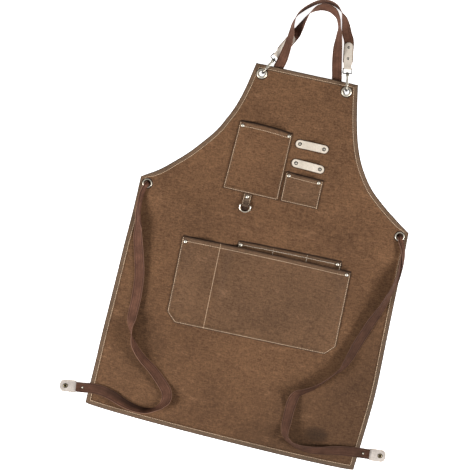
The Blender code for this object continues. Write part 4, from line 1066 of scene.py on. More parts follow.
def make_grommets():
    for (side, level), centre in GROMMETS.items():
        hole, rim = HOLE[level], RIM[level]
        lift = BIB_CORNER_LIFT if level else SIDE_CORNER_LIFT
        top, under = lift + HEM_THICKNESS + GAP, lift - GAP
        wall = hole + 0.0008
        profile = [(hole, top + FLANGE * 0.5), (hole + 0.0004, top + FLANGE * 1.5),
                   (wall + 0.0006, top + FLANGE * 2.0), (wall + 0.0018, top + FLANGE * 1.7),
                   (rim - 0.0016, top + FLANGE), (rim - 0.0006, top + FLANGE * 0.7), (rim, top),
                   (rim - 0.0004, top - 0.0001), (wall, top), (wall, under), (rim - 0.001, under),
                   (rim - 0.001, under - FLANGE), (hole, under - FLANGE)]
        name = ("bib" if level else "waist") + "_grommet_" + side_name(side)
        turned(name + "_ring", profile, 48, shift(*centre, 0.0), BIB_RING if level else WAIST_RING, [name])


def side_name(side):
    return "left" if side < 0 else "right"


# Pockets

Pocket = namedtuple("Pocket", "name corners mouth_wave bulge dividers chamfer rivets mouth_stitch")
POCKETS = [
    Pocket("chest_pocket", ((-0.1170, 0.1625), (0.0025, 0.1600), (0.0045, 0.0100), (-0.1200, 0.0095)),
           0.0022, 0.0052, (), 0.0, ((-0.1090, 0.1530), (-0.0045, 0.1535)), 0.0110),
    Pocket("small_pocket", ((0.0075, 0.0770), (0.0925, 0.0755), (0.0935, 0.0115), (0.0095, 0.0105)),
           -0.0012, 0.0052, (), 0.0, ((0.0155, 0.0690), (0.0830, 0.0685)), 0.0095),
    Pocket("lower_pocket", ((-0.1810, -0.1135), (0.1985, -0.1060), (0.2045, -0.2945), (-0.1755, -0.3045)),
           0.0020, 0.0052, (0.226,), 0.022, ((-0.1720, -0.1245), (0.1900, -0.1135)), 0.0100),
    Pocket("pen_pocket", ((-0.0590, -0.0960), (0.1735, -0.0885), (0.1765, -0.2065), (-0.0560, -0.2115)),
           0.0010, 0.0016, (0.340, 0.665), 0.0, ((-0.0520, -0.1035), (0.1650, -0.0955)), 0.0070),
]
POCKET_CANVAS = 0.0011
POCKET_HEM = 0.0018
POCKET_SWELL = 0.030
RIVET_HEAD = 0.0042


def pocket_size(pocket):
    corners = [Vector(corner) for corner in pocket.corners]
    return (corners[1] - corners[0]).length, (corners[3] - corners[0]).length


def pocket_point(pocket, across, down):
    top = Vector(pocket.corners[0]).lerp(Vector(pocket.corners[1]), across)
    bottom = Vector(pocket.corners[3]).lerp(Vector(pocket.corners[2]), across)
    cut = max(pocket.chamfer - min(across, 1 - across) * pocket_size(pocket)[0], 0.0)
    point = top.lerp(bottom, down * (1 - cut / (top - bottom).length))
    point.y += WAIST + pocket.mouth_wave * math.sin(math.pi * across) * (1 - down) ** 2
    return point


def pocket_height(pocket, across, down):
    width, depth = pocket_size(pocket)
    distance = min(abs(across - seam) for seam in (0.0, *pocket.dividers, 1.0)) * width
    rise = smooth((distance - SEAM) / POCKET_SWELL)
    up = smooth(((1 - down) * depth - SEAM) / (depth * 0.75))
    place = pocket_point(pocket, across, down)
    pinned = min((place - Vector((x, y + WAIST))).length for x, y in pocket.rivets)
    held = smooth((pinned - RIVET_HEAD) / 0.02)
    creased = 0.5 + 0.5 * noise.noise(Vector((place.x * 34.0, place.y * 22.0, 9.0)))
    slack = 0.0009 * creased * rise * smooth(down * 6)
    return pocket.bulge * rise * up * held + slack


def pen_layer(x, y):
    """Room that the pen pocket needs under the lower pocket."""
    pen = POCKETS[3]
    left, right, bottom = pen.corners[0][0], pen.corners[1][0], pen.corners[3][1] + WAIST
    return (POCKET_HEM + 2 * GAP) * smooth((min(x - left, right - x, y - bottom) + 0.020) / 0.016)


SEAM_STEPS = (0.0, 0.0003, 0.0009, 0.0018, 0.0026, 0.0034, 0.0045, 0.0060, 0.0075)
MOUTH_STEPS = (0.0, 0.0003, 0.0009, 0.0030, 0.0060)


def pocket_thickness(pocket, side, mouth, foot, turn, place):
    hem = smooth((pocket.mouth_stitch + 0.0016 - mouth) / 0.0010)
    seam = smooth((SEAM + 0.0012 - min(side, foot)) / 0.0012)
    pucker = noise.noise(Vector((place.x * 140.0, place.y * 140.0, turn)))
    thickness = mix(POCKET_CANVAS, POCKET_HEM, max(hem, seam * 0.85))
    thickness -= 0.0003 * bell(mouth - pocket.mouth_stitch, 0.0008) * (1.0 + 0.7 * pucker)
    thickness -= 0.0003 * bell(min(side, foot) - SEAM_STITCH, 0.0008) * (1.0 + 0.7 * pucker)
    thickness -= 0.0007 * max(0.0, 1.0 - min(side, mouth, foot) / 0.0009) ** 2
    return max(thickness + 0.00018 * pucker * max(hem, seam), 0.0005)


def make_pocket(pocket, turn):
    width, depth = pocket_size(pocket)
    near = [step / width for step in SEAM_STEPS]
    marks = {*near, *(1 - share for share in near)}
    for divider in pocket.dividers:
        marks |= {divider + step / width for step in (-0.006, -0.003, -0.0012, 0.0, 0.0012, 0.003, 0.006)}
    if pocket.chamfer:
        marks |= {pocket.chamfer / width, 1 - pocket.chamfer / width}
    even = [share for share in steps(near[-1], 1 - near[-1], 0.0042 / width)
            if min(abs(share - mark) for mark in marks) > 0.0018 / width]
    acrosses = sorted(marks | set(even))
    stitched = pocket.mouth_stitch
    mouth = [*MOUTH_STEPS, *(stitched + step for step in (-0.0012, -0.0005, 0.0, 0.0005, 0.0012, 0.0022))]
    downs = [step / depth for step in mouth]
    downs += steps(downs[-1], 1 - near[-1] * width / depth, 0.0042 / depth)[1:-1]
    downs += [1 - step / depth for step in reversed(SEAM_STEPS)]
    downs.reverse()
    rows, weights = [], []
    for down in downs:
        row, thick = [], []
        for across in acrosses:
            place = pocket_point(pocket, across, down)
            height = flat_top(place.x, place.y) + GAP + pocket_height(pocket, across, down)
            if pocket.name == "lower_pocket":
                height += pen_layer(place.x, place.y)
            side = min(across, 1 - across) * width
            divided = min([abs(across - share) * width for share in pocket.dividers] + [1.0])
            row.append((place.x, place.y, height))
            thickness = pocket_thickness(pocket, side, down * depth, (1 - down) * depth, turn, place)
            thick.append(max(thickness - 0.00035 * bell(divided, 0.0009), 0.0005))
        rows.append(row)
        weights.append(thick)

    def measures(row, column):
        inside = min(acrosses[column] * width, (1 - acrosses[column]) * width, (1 - downs[row]) * depth)
        return min(inside, downs[row] * depth), downs[row] * depth - pocket.mouth_stitch

    finish = SKIRT_CANVAS if turn > 0 else BIB_CANVAS
    piece = cloth(pocket.name + "_cloth", rows, POCKET_HEM, finish, [pocket.name], "canvas", measures,
                  weights)
    thread = THREAD_PAINTED_LIGHTER if pocket.name == "pen_pocket" else TAN_THREAD
    sew(pocket.name + "_stitches", piece, pocket_lines(pocket), thread)
    for index, (x, y) in enumerate(pocket.rivets):
        add_rivet("%s_rivet_%d" % (pocket.name, index + 1), (x, y + WAIST), piece, RIVET_HEAD, 0.0016)
    return piece


def pocket_lines(pocket):
    """Both sides and the foot, the mouth's hem, and each divider."""
    width, depth = pocket_size(pocket)
    inset_x, inset_y = SEAM_STITCH / width, SEAM_STITCH / depth
    downs = steps(inset_y, 1 - inset_y, 0.05)
    acrosses = steps(inset_x, 1 - inset_x, 0.01)
    mouth = pocket.mouth_stitch / depth
    lines = [[pocket_point(pocket, inset_x, down) for down in downs],
             [pocket_point(pocket, 1 - inset_x, down) for down in downs],
             [pocket_point(pocket, across, mouth) for across in steps(0.005, 0.995, 0.01)]]
    if pocket.name != "pen_pocket":
        lines.append([pocket_point(pocket, across, 1 - inset_y) for across in acrosses])
    for divider in pocket.dividers:
        downs = steps(0.001 / depth, 1 - inset_y, 0.05)
        lines.append([pocket_point(pocket, divider, down) for down in downs])
    return lines


# Rivets

# A cap's dome, pressed groove and rim, as shares of its head and rise
CAP = [(0.0, 1.0), (0.22, 0.985), (0.42, 0.93), (0.58, 0.82), (0.70, 0.64), (0.76, 0.42), (0.79, 0.30),
       (0.84, 0.34), (0.90, 0.36), (0.96, 0.28), (1.0, 0.08), (0.98, 0.0)]
SHANK = 0.0012


def add_rivet(name, place, carrier, head, rise, finish=BRIGHT_CAP):
    """A capped rivet, seated on the highest cloth or leather under its rim."""
    surface = surface_of(carrier)
    reach = [(0.0, 0.0)] + [(head * math.cos(a), head * math.sin(a)) for a in steps(0.0, 2 * math.pi, 0.8)]
    base = max(height_on(surface, place[0] + dx, place[1] + dy) for dx, dy in reach) - 0.0002
    profile = [(head * out, rise * up) for out, up in CAP]
    profile += [(SHANK, 0.0), (SHANK, -SHANK), (0.0, -SHANK)]
    turned(name + "_cap", profile, 28, shift(*place, base), finish, [name])


# Leather

ToolLoop = namedtuple("ToolLoop", "name centre slope")
TOOL_LOOPS = [
    ToolLoop("tool_loop_upper", (0.0500, 0.1428), 0.014),
    ToolLoop("tool_loop_lower", (0.0513, 0.0989), -0.022),
]
LOOP_LENGTH = 0.073
LOOP_WIDTH = 0.0175
LOOP_ARCH = 0.0046
LOOP_RIVET_SPAN = 0.054

# Painted shade where metal and leather shade the panel: round the grommets, inside the ring and along the
# loops
SHADED_RINGS = [(centre, RIM[level]) for (_, level), centre in GROMMETS.items()]
SHADED_RINGS.append(((RING_AT[0], RING_AT[1] + WAIST - 0.0073), 0.0052))
Strip = namedtuple("Strip", "x y lean length width")
SHADED_STRIPS = [Strip(loop.centre[0], loop.centre[1] + WAIST, math.atan(loop.slope), LOOP_LENGTH, LOOP_WIDTH)
                 for loop in TOOL_LOOPS]
PANEL_CANVAS = canvas_finish("waxed_canvas", WAX_LIGHT, WAX_DARK, 0.0, HEM_FOLD, HEM_STITCH, 0.44, 0.0,
                             SHADED_RINGS, SHADED_STRIPS)


def round_end(from_end, radius, least=0.06):
    short = max(radius - from_end, 0.0)
    return math.sqrt(max(radius * radius - short * short, (least * radius) ** 2))


def round_inset(across, past_centre, radius):
    """How far inside a strip's round-ended outline a place lies."""
    if past_centre <= 0:
        return radius * (1 - abs(across))
    half = round_end(radius - past_centre, radius)
    return max(radius - math.hypot(past_centre, across * half), 0.0)


def make_tool_loops():
    for loop in TOOL_LOOPS:
        centre = Vector((loop.centre[0], loop.centre[1] + WAIST))
        ends = [LOOP_WIDTH / 2 * (1 - math.cos(math.pi / 2 * step / 9)) for step in range(10)]
        places = ends + steps(ends[-1], LOOP_LENGTH - ends[-1], 0.0022)[1:-1]
        places += [LOOP_LENGTH - end for end in reversed(ends)]
        acrosses = steps(-1.0, 1.0, 0.16)
        rows = []
        for across in acrosses:
            row = []
            for place in places:
                along = place - LOOP_LENGTH / 2
                half = round_end(min(place, LOOP_LENGTH - place), LOOP_WIDTH / 2)
                arch = LOOP_ARCH * smooth((LOOP_RIVET_SPAN / 2 - RIVET_HEAD - 0.0008 - abs(along)) / 0.013)
                x, y = centre.x + along, centre.y + across * half + along * loop.slope
                row.append((x, y, flat_top(x, y) + GAP + arch))
            rows.append(row)
        ends_in = [LOOP_WIDTH / 2 - (LOOP_LENGTH / 2 - abs(place - LOOP_LENGTH / 2)) for place in places]
        piece = cloth(loop.name + "_leather", rows, LOOP_LEATHER, CREAM_LEATHER, [loop.name], "leather",
                      lambda row, column: (round_inset(acrosses[row], ends_in[column], LOOP_WIDTH / 2), 1.0),
                      edge=0.0004)
        for index, side in enumerate((-1, 1)):
            along = side * LOOP_RIVET_SPAN / 2
            place = (centre.x + along, centre.y + along * loop.slope)
            add_rivet("%s_rivet_%d" % (loop.name, index + 1), place, piece, RIVET_HEAD, 0.0016, STEEL_CAP)


def frame_at(place, heading, height=0.0):
    return Matrix.Translation((*place, height)) @ Matrix.Rotation(heading, 4, "Z")


def folded_strip(name, place, bar_at, bar_height, bar_radius, reach, width, bar_width, thickness, inside,
                 look, nodes, round_tip):
    """A strip that runs in along the bottom, round a bar and back on top, with room for the webbing."""
    finish, slot = look
    turn = bar_radius + GAP + thickness / 2
    low = bar_height - turn
    high_far = low + thickness + inside
    path = [(at, low) for at in steps(bar_at + reach, bar_at + turn * 2.5, 0.003)]
    path += [(bar_at + turn * math.cos(a), bar_height + turn * math.sin(a))
             for a in steps(-math.pi / 2, -3 * math.pi / 2, 0.22)]
    tail = bar_at + turn * 4.5
    for at in steps(bar_at, tail, 0.0009)[1:]:
        path.append((at, mix(bar_height + turn, high_far, smooth((at - bar_at) / (tail - bar_at)))))
    end = bar_at + reach
    straight = end - width / 2 if round_tip else end
    path += [(at, high_far) for at in steps(tail, straight, 0.003)[1:]]
    if round_tip:
        path += [(straight + width / 2 * math.sin(a), high_far) for a in steps(0.0, math.pi / 2, 0.17)[1:]]
    rows, halves = [], []
    acrosses = steps(1.0, -1.0, 0.13)
    half_way = len(path) // 2
    for index, (along, height) in enumerate(path):
        half = mix(bar_width, width, smooth((along - bar_at - 0.004) / 0.012)) / 2
        if round_tip and index > half_way:
            short = max(half - (end - along), 0.0) / half
            half *= math.sqrt(max(1 - short ** 2.2, 0.003))
        rows.append([tuple(place @ Vector((along, across * half, height))) for across in acrosses])
        halves.append(half)
    return cloth(name, rows, thickness, finish, nodes, slot,
                 lambda row, column: (halves[row] * (1 - abs(acrosses[column])), 1.0),
                 offset=0.0, edge=0.0003)


def hook_frame(side):
    return frame_at(GROMMETS[side, 1], HOOK_TURN[side])


def make_hook_tab(side):
    name = "hook_tab_" + side_name(side)
    place = hook_frame(side)
    tab = folded_strip(name + "_leather", place, EYE_FAR, EYE_BAR_HEIGHT, EYE_WIRE, TAB_LENGTH - 0.003,
                       TAB_WIDTH, TAB_EYE_WIDTH, LEATHER, WEBBING + 2 * GAP, (TAB_LEATHER, "leather"), [name],
                       True)
    for index, share in enumerate((0.36, 0.77)):
        at = place @ Vector((EYE_FAR + TAB_LENGTH * share, 0, 0))
        add_rivet("%s_rivet_%d" % (name, index + 1), (at.x, at.y), tab, 0.0030, 0.0010, SMALL_CAP)


# Hooks

def plate_mesh(at, near, far, low, high, bevel):
    """A plate between two heights, each end given as its place along and its two places across."""
    outline = [(near[0], near[1]), (far[0], far[1]), (far[0], far[2]), (near[0], near[2])]
    return block_mesh([at(*place, height) for height in (low, high) for place in outline], bevel)


def make_hook(side):
    """A bent wire with its post, the lever's pin between two cheeks on a bridge, and the swivel's stem."""
    place = hook_frame(side)

    def at(along, across, height):
        return place @ Vector((along, across, height))

    low, high = GAP + HOOK_WIRE, HOOK_HEIGHT
    nose = POST_AT - LEVER_REACH + 0.0022
    route = [(POST_AT, STEM_HEIGHT), (POST_AT - 0.0030, low + 0.0004), (POST_AT - 0.007, low), (0.0064, low),
             (0.0045, low + 0.0007), (HOOK_IN_HOLE, low + 0.0030), (HOOK_IN_HOLE, mix(low, high, 0.65)),
             (HOOK_IN_HOLE + 0.0010, high - 0.0020), (HOOK_IN_HOLE + 0.0035, high), (nose, high)]
    near, far = POST_AT - 0.0026, POST_AT + 0.0026
    meshes = [
        wire_mesh("hook_wire", rounded([at(along, 0, height) for along, height in route], 5), HOOK_WIRE),
        pin_mesh(at(POST_AT, 0, low - 0.0004), at(POST_AT, 0, LEVER_PIVOT - 0.0024), 0.0023),
        pin_mesh(at(POST_AT, -0.0042, LEVER_PIVOT), at(POST_AT, 0.0042, LEVER_PIVOT), 0.0008, 16),
        pin_mesh(at(POST_AT, 0, STEM_HEIGHT), at(EYE_NEAR + 0.0040, 0, STEM_HEIGHT), 0.0012, 16),
        pin_mesh(at(EYE_NEAR + 0.0024, 0, STEM_HEIGHT), at(EYE_NEAR + 0.0040, 0, STEM_HEIGHT), 0.0021, 20),
        plate_mesh(at, (near, -0.0036, -0.0024), (far, -0.0036, -0.0024), LEVER_PIVOT - 0.0034,
                   LEVER_PIVOT + 0.0017, 0.0003),
        plate_mesh(at, (near, 0.0024, 0.0036), (far, 0.0024, 0.0036), LEVER_PIVOT - 0.0034,
                   LEVER_PIVOT + 0.0017, 0.0003),
        plate_mesh(at, (near, -0.0034, 0.0034), (far, -0.0034, 0.0034), LEVER_PIVOT - 0.0036,
                   LEVER_PIVOT - 0.0022, 0.0003),
    ]
    node = "snap_hook_" + side_name(side)
    joined(node + "_wire", meshes, STEEL_WIRE, [node])
    node = "snap_lever_" + side_name(side)
    meshes = [
        plate_mesh(at, (POST_AT - LEVER_REACH, -0.0027, 0.0027), (POST_AT, -0.0019, 0.0019),
                   LEVER_PIVOT - LEVER / 2, LEVER_PIVOT + LEVER / 2, 0.0006),
        pin_mesh(at(POST_AT, -0.0019, LEVER_PIVOT), at(POST_AT, 0.0019, LEVER_PIVOT), 0.0018),
    ]
    joined(node + "_gate", meshes, STEEL_WIRE, [node], "lever_" + side_name(side))
    make_eye(side, place)


def make_eye(side, place):
    """The square wire eye, bent up to the leather's bar, and the boss that the stem turns in."""
    half = TAB_EYE_WIDTH / 2 + GAP + EYE_WIRE
    corner = 0.0016
    loop = [(EYE_NEAR, -half + corner), (EYE_NEAR, half - corner), (EYE_NEAR + 0.0005, half - 0.0004),
            (EYE_NEAR + corner, half), (EYE_FAR - corner, half), (EYE_FAR - 0.0005, half - 0.0004),
            (EYE_FAR, half - corner), (EYE_FAR, -half + corner), (EYE_FAR - 0.0005, -half + 0.0004),
            (EYE_FAR - corner, -half), (EYE_NEAR + corner, -half), (EYE_NEAR + 0.0005, -half + 0.0004)]
    points = []
    for along, across in loop:
        share = (along - EYE_NEAR) / (EYE_FAR - EYE_NEAR)
        points.append(place @ Vector((along, across, mix(STEM_HEIGHT, EYE_BAR_HEIGHT, smooth(share)))))
    boss = pin_mesh(place @ Vector((EYE_NEAR - 0.0021, 0, STEM_HEIGHT)),
                    place @ Vector((EYE_NEAR + 0.0021, 0, STEM_HEIGHT)), 0.0026, 24, 0.0004)
    node = "swivel_eye_" + side_name(side)
    joined(node + "_loop", [wire_mesh("eye_wire", points, EYE_WIRE, True), boss], EYE_STEEL, [node])


# Webbing

Station = namedtuple("Station", "x y rests lift lean fold")


def arch_station(across, up, lift, lean):
    return Station(across * BIB_WIDTH / 2, WAIST + BIB_LENGTH + up * ARCH_RISE, "floor", lift, lean, 0.0)


def under_station(side, level, inset):
    edge = edge_point(side, level)
    return Station(edge.x - side * inset, edge.y, "floor", 0.0, 0.0, 0.0)


def skirt_station(across, down, lean, fold=0.0):
    return Station(across * HEM_WIDTH / 2, WAIST - down * SKIRT_LENGTH, "cloth", 0.0, lean, fold)


def tab_stations(side):
    place = hook_frame(side)
    stations = []
    for share in (0.22, 0.6, 1.0):
        at = place @ Vector((EYE_FAR + TAB_LENGTH * share, 0, 0))
        stations.append(Station(at.x, at.y, "floor", LEATHER + GAP, 0.0 if side > 0 else 180.0, 0.0))
    return stations


HoleRow = namedtuple("HoleRow", "before after height fold")
HOLE_ROWS = [
    HoleRow(0.0300, 0.0, 0.00, 0.45),
    HoleRow(0.0180, 0.0, 0.00, 1.0),
    HoleRow(0.0105, 0.0, 0.00, 1.0),
    HoleRow(0.0046, 0.0, 0.01, 1.0),
    HoleRow(0.0014, 0.0, 0.24, 1.0),
    HoleRow(0.0, 0.0001, 0.50, 1.0),
    HoleRow(0.0, 0.0014, 0.76, 1.0),
    HoleRow(0.0, 0.0046, 0.97, 1.0),
    HoleRow(0.0, 0.0105, 1.00, 1.0),
]
WAY_IN = Vector((0.72, 0.69))
WAY_OUT = Vector((-0.38, -0.92))


def hole_stations(side):
    centre = GROMMETS[side, 0]
    under = FOLDED_WEBBING / 2
    over = SIDE_CORNER_LIFT + HEM_THICKNESS + FLANGE * 1.3 + 2 * GAP + FOLDED_WEBBING / 2 + 0.0006
    stations = []
    for row in HOLE_ROWS:
        away = WAY_IN * row.before + WAY_OUT * row.after
        height = mix(under, over, row.height)
        stations.append(Station(centre.x - side * away.x, centre.y + away.y, "height", height, 0.0, row.fold))
    return stations


def strap_a_stations():
    """From the right hook over the arch to the left side."""
    return tab_stations(1) + [
        arch_station(0.580, 0.650, 0.0006, 12),
        arch_station(0.490, 0.800, 0.0, 50),
        arch_station(0.390, 0.900, 0.0, 86),
        arch_station(0.260, 0.966, 0.0, 101),
        arch_station(0.105, 0.989, 0.0, 105),
        arch_station(-0.068, 0.962, 0.0, 105),
        arch_station(-0.217, 0.891, 0.0, 104),
        arch_station(-0.345, 0.804, 0.0, 101),
        arch_station(-0.434, 0.710, 0.0, 91),
        arch_station(-0.466, 0.590, 0.0006, 76),
        arch_station(-0.456, 0.440, 0.0068, 56),
        arch_station(-0.471, 0.270, 0.0076, 40),
        arch_station(-0.492, 0.150, 0.0072, 18),
        arch_station(-0.508, 0.090, 0.0056, -4),
        arch_station(-0.522, 0.048, 0.0030, -12),
        arch_station(-0.545, 0.000, 0.0003, -6),
        under_station(-1, 0.975, 0.052),
        under_station(-1, 0.88, 0.040),
        under_station(-1, 0.74, 0.026),
        under_station(-1, 0.56, 0.018),
        under_station(-1, 0.42, 0.020),
        under_station(-1, 0.26, 0.025),
        under_station(-1, 0.15, 0.030),
        under_station(-1, 0.085, 0.026),
    ] + hole_stations(-1) + LEFT_TIE + tip_stations(-1)


def strap_b_stations():
    """From the left hook over the arch to the right side."""
    return tab_stations(-1) + [
        arch_station(-0.330, 0.545, 0.0, 140),
        arch_station(-0.270, 0.670, 0.0, 112),
        arch_station(-0.195, 0.790, 0.0, 92),
        arch_station(-0.060, 0.885, 0.0, 62),
        arch_station(0.100, 0.915, 0.0, 50),
        arch_station(0.240, 0.890, 0.0, 55),
        arch_station(0.350, 0.815, 0.0, 74),
        arch_station(0.415, 0.700, 0.0, 80),
        arch_station(0.450, 0.575, 0.0, 58),
        arch_station(0.480, 0.410, 0.0, 28),
        arch_station(0.530, 0.230, 0.0, 8),
        arch_station(0.590, 0.060, 0.0, 0),
        under_station(1, 0.975, 0.047),
        under_station(1, 0.88, 0.038),
        under_station(1, 0.74, 0.026),
        under_station(1, 0.56, 0.018),
        under_station(1, 0.42, 0.020),
        under_station(1, 0.26, 0.026),
        under_station(1, 0.15, 0.030),
        under_station(1, 0.085, 0.026),
    ] + hole_stations(1) + RIGHT_TIE + tip_stations(1)


LEFT_TIE = [skirt_station(*row) for row in (
    (-0.952, 0.079, 8, 1.0), (-0.956, 0.114, 15, 0.90), (-0.951, 0.156, 38, 0.70), (-0.938, 0.194, 44, 0.45),
    (-0.921, 0.232, 38, 0.20), (-0.905, 0.270, 28), (-0.865, 0.347, 18), (-0.832, 0.424, 15),
    (-0.816, 0.519, 15), (-0.814, 0.596, 24), (-0.800, 0.652, 75), (-0.750, 0.712, 122),
    (-0.671, 0.758, 136), (-0.585, 0.792, 148), (-0.500, 0.835, 160), (-0.447, 0.869, 178),
    (-0.434, 0.900, 200), (-0.454, 0.928, 235), (-0.500, 0.953, 252), (-0.566, 0.968, 242),
    (-0.651, 0.967, 228), (-0.737, 0.956, 214), (-0.822, 0.939, 198), (-0.914, 0.929, 186),
    (-0.987, 0.930, 181),
)]

RIGHT_TIE = [skirt_station(*row) for row in (
    (0.978, 0.068, -30, 1.0), (0.990, 0.114, -55, 0.80), (0.990, 0.160, -64, 0.45), (0.982, 0.200, -66, 0.20),
    (0.967, 0.236, -64), (0.947, 0.274, -57), (0.928, 0.311, -50), (0.903, 0.349, -40),
    (0.875, 0.387, -32), (0.845, 0.439, -26), (0.812, 0.494, -26), (0.789, 0.540, -34),
    (0.766, 0.578, -50), (0.742, 0.609, -68), (0.694, 0.642, -82), (0.635, 0.680, -80),
    (0.572, 0.714, -68), (0.510, 0.737, -58), (0.470, 0.754, -38), (0.454, 0.783, -8),
    (0.449, 0.825, 22), (0.449, 0.873, 25), (0.452, 0.913, 45), (0.474, 0.940, 66),
    (0.516, 0.957, 72), (0.582, 0.966, 60), (0.664, 0.966, 45), (0.743, 0.959, 35),
    (0.822, 0.947, 26), (0.911, 0.938, 14), (0.987, 0.933, 4),
)]

# Where each waist tie's webbing ends, and which way it points
TIE_ENDS = {-1: (-1.092, 0.939, math.radians(187.0)), 1: (1.087, 0.928, math.radians(4.7))}
TONGUE = 0.021
TONGUE_WIDTH = 0.017
TIP_LENGTH = 0.036
TIP_WIDTH = 0.0265


def tip_frame(side):
    across, down, heading = TIE_ENDS[side]
    return frame_at((across * HEM_WIDTH / 2, WAIST - down * SKIRT_LENGTH), heading)


def tip_stations(side):
    place = tip_frame(side)
    stations = []
    for along in (-0.0195, 0.0):
        at = place @ Vector((along, 0, 0))
        stations.append(Station(at.x, at.y, "floor", TIP_LEATHER + GAP, 180.0 if side < 0 else 0.0, 0.0))
    return stations


CAD_COLUMNS = (-1.0, -0.5, 0.0, 0.5, 1.0)
COLUMNS = [-1 + i / 8 for i in range(17)]


def webbing_section(fold, columns=COLUMNS):
    """Across and outward places of the webbing's columns; folded, its left part lies over its right part."""
    half = WEBBING_WIDTH / 2
    crease = mix(half, -0.22 * half, fold)
    arc = math.pi * SPINE_RADIUS
    doubled = (-half, crease, crease + arc / 2, crease + arc, half)
    points = []
    for column in columns:
        spot = min(int((column + 1) * 2), 3)
        place = mix(doubled[spot], doubled[spot + 1], (column + 1) * 2 - spot)
        along = mix(column * half, place, fold)
        if along <= crease:
            points.append((along, 0.0))
        elif along <= crease + arc:
            angle = (along - crease) / SPINE_RADIUS
            points.append((crease + SPINE_RADIUS * math.sin(angle), SPINE_RADIUS * (1 - math.cos(angle))))
        else:
            points.append((2 * crease + arc - along, 2 * SPINE_RADIUS))
    low = min(across for across, out in points)
    high = max(across for across, out in points)
    out_most = max(out for across, out in points)
    return [(across - (low + high) / 2, out - out_most / 2) for across, out in points]


def section_frame(heading, pitch, lean):
    forward = Vector((math.cos(heading), math.sin(heading), 0.0))
    left = Vector((-forward.y, forward.x, 0.0))
    up = -forward * math.sin(pitch) + Vector((0, 0, math.cos(pitch)))
    lean = math.radians(lean)
    return left * math.cos(lean) + up * math.sin(lean), -left * math.sin(lean) + up * math.cos(lean)


STRAP_STEP = 0.0032


def strap_sections(stations):
    sections = []
    for index in range(len(stations) - 1):
        around = [stations[min(max(index + step, 0), len(stations) - 1)] for step in (-1, 0, 1, 2)]
        start, end = around[1], around[2]
        parts_each = max(1, round(math.hypot(end.x - start.x, end.y - start.y) / STRAP_STEP))
        rests = start.rests if start.rests == end.rests else "between"
        for step in range(parts_each):
            share = step / parts_each
            x = curve_through(*[station.x for station in around], share)
            y = curve_through(*[station.y for station in around], share)
            lift, lean = (mix(getattr(start, key), getattr(end, key), smooth(share) * 0.4 + share * 0.6)
                          for key in ("lift", "lean"))
            sections.append(Station(x, y, rests if step else start.rests, lift, lean,
                                    mix(start.fold, end.fold, share)))
    sections.append(stations[-1])
    return sections


def resting_height(section, heading, ground):
    """How high the section's middle lies when its lowest edge rests, plus its lift."""
    across, outward = section_frame(heading, 0.0, section.lean)
    height = 0.0
    for a, n in webbing_section(section.fold, CAD_COLUMNS):
        offset = across * a + outward * n
        floor = 0.0
        if section.rests == "cloth":
            floor = height_on(ground, section.x + offset.x, section.y + offset.y) + GAP
        height = max(height, floor - offset.z + abs(outward.z) * WEBBING / 2)
    return height + section.lift


def eased(values, fixed, times):
    """Values with their kinks eased, except the fixed ones."""
    for _ in range(times):
        softer = list(values)
        for i in range(1, len(values) - 1):
            if not fixed[i]:
                softer[i] = (values[i - 1] + 2 * values[i] + values[i + 1]) / 4
        values = softer
    return values


def strap_heights(sections, ways, ground):
    heights = []
    for section, heading in zip(sections, ways):
        if section.rests == "height":
            heights.append(section.lift)
        else:
            heights.append(None if section.rests == "between" else resting_height(section, heading, ground))
    known = [index for index, height in enumerate(heights) if height is not None]
    for index, height in enumerate(heights):
        if height is None:
            low = max(place for place in known if place < index)
            high = min(place for place in known if place > index)
            heights[index] = mix(heights[low], heights[high], smooth((index - low) / (high - low)))
    raised = [max(heights[max(i - 4, 0):i + 5]) if sections[i].rests == "cloth" else heights[i]
              for i in range(len(heights))]
    fixed = [section.rests == "height" for section in sections]
    return eased(raised, fixed, 8)


def make_strap(name, stations, ground, nodes):
    sections = strap_sections(stations)
    last = len(sections) - 1
    ways = []
    for index in range(last + 1):
        before, after = sections[max(index - 1, 0)], sections[min(index + 1, last)]
        ways.append(math.atan2(after.y - before.y, after.x - before.x))
    heights = strap_heights(sections, ways, ground)
    rows, lengths = [], [0.0]
    for index, (section, heading, height) in enumerate(zip(sections, ways, heights)):
        before, after = max(index - 1, 0), min(index + 1, last)
        run = math.hypot(sections[after].x - sections[before].x, sections[after].y - sections[before].y)
        pitch = math.atan2(heights[after] - heights[before], run)
        across, outward = section_frame(heading, pitch, section.lean)
        centre = Vector((section.x, section.y, height))
        if rows:
            lengths.append(lengths[-1] + (centre - last_centre).length)
        last_centre = centre
        rows.append([tuple(centre + across * a + outward * n) for a, n in webbing_section(section.fold)])
    widths = [column * WEBBING_WIDTH / 2 for column in COLUMNS]
    strap = cloth(name, rows, WEBBING, BROWN_WEBBING, nodes, "webbing",
                  lambda row, column: (widths[column], lengths[row]), offset=0.0)
    return strap, lengths[-1]


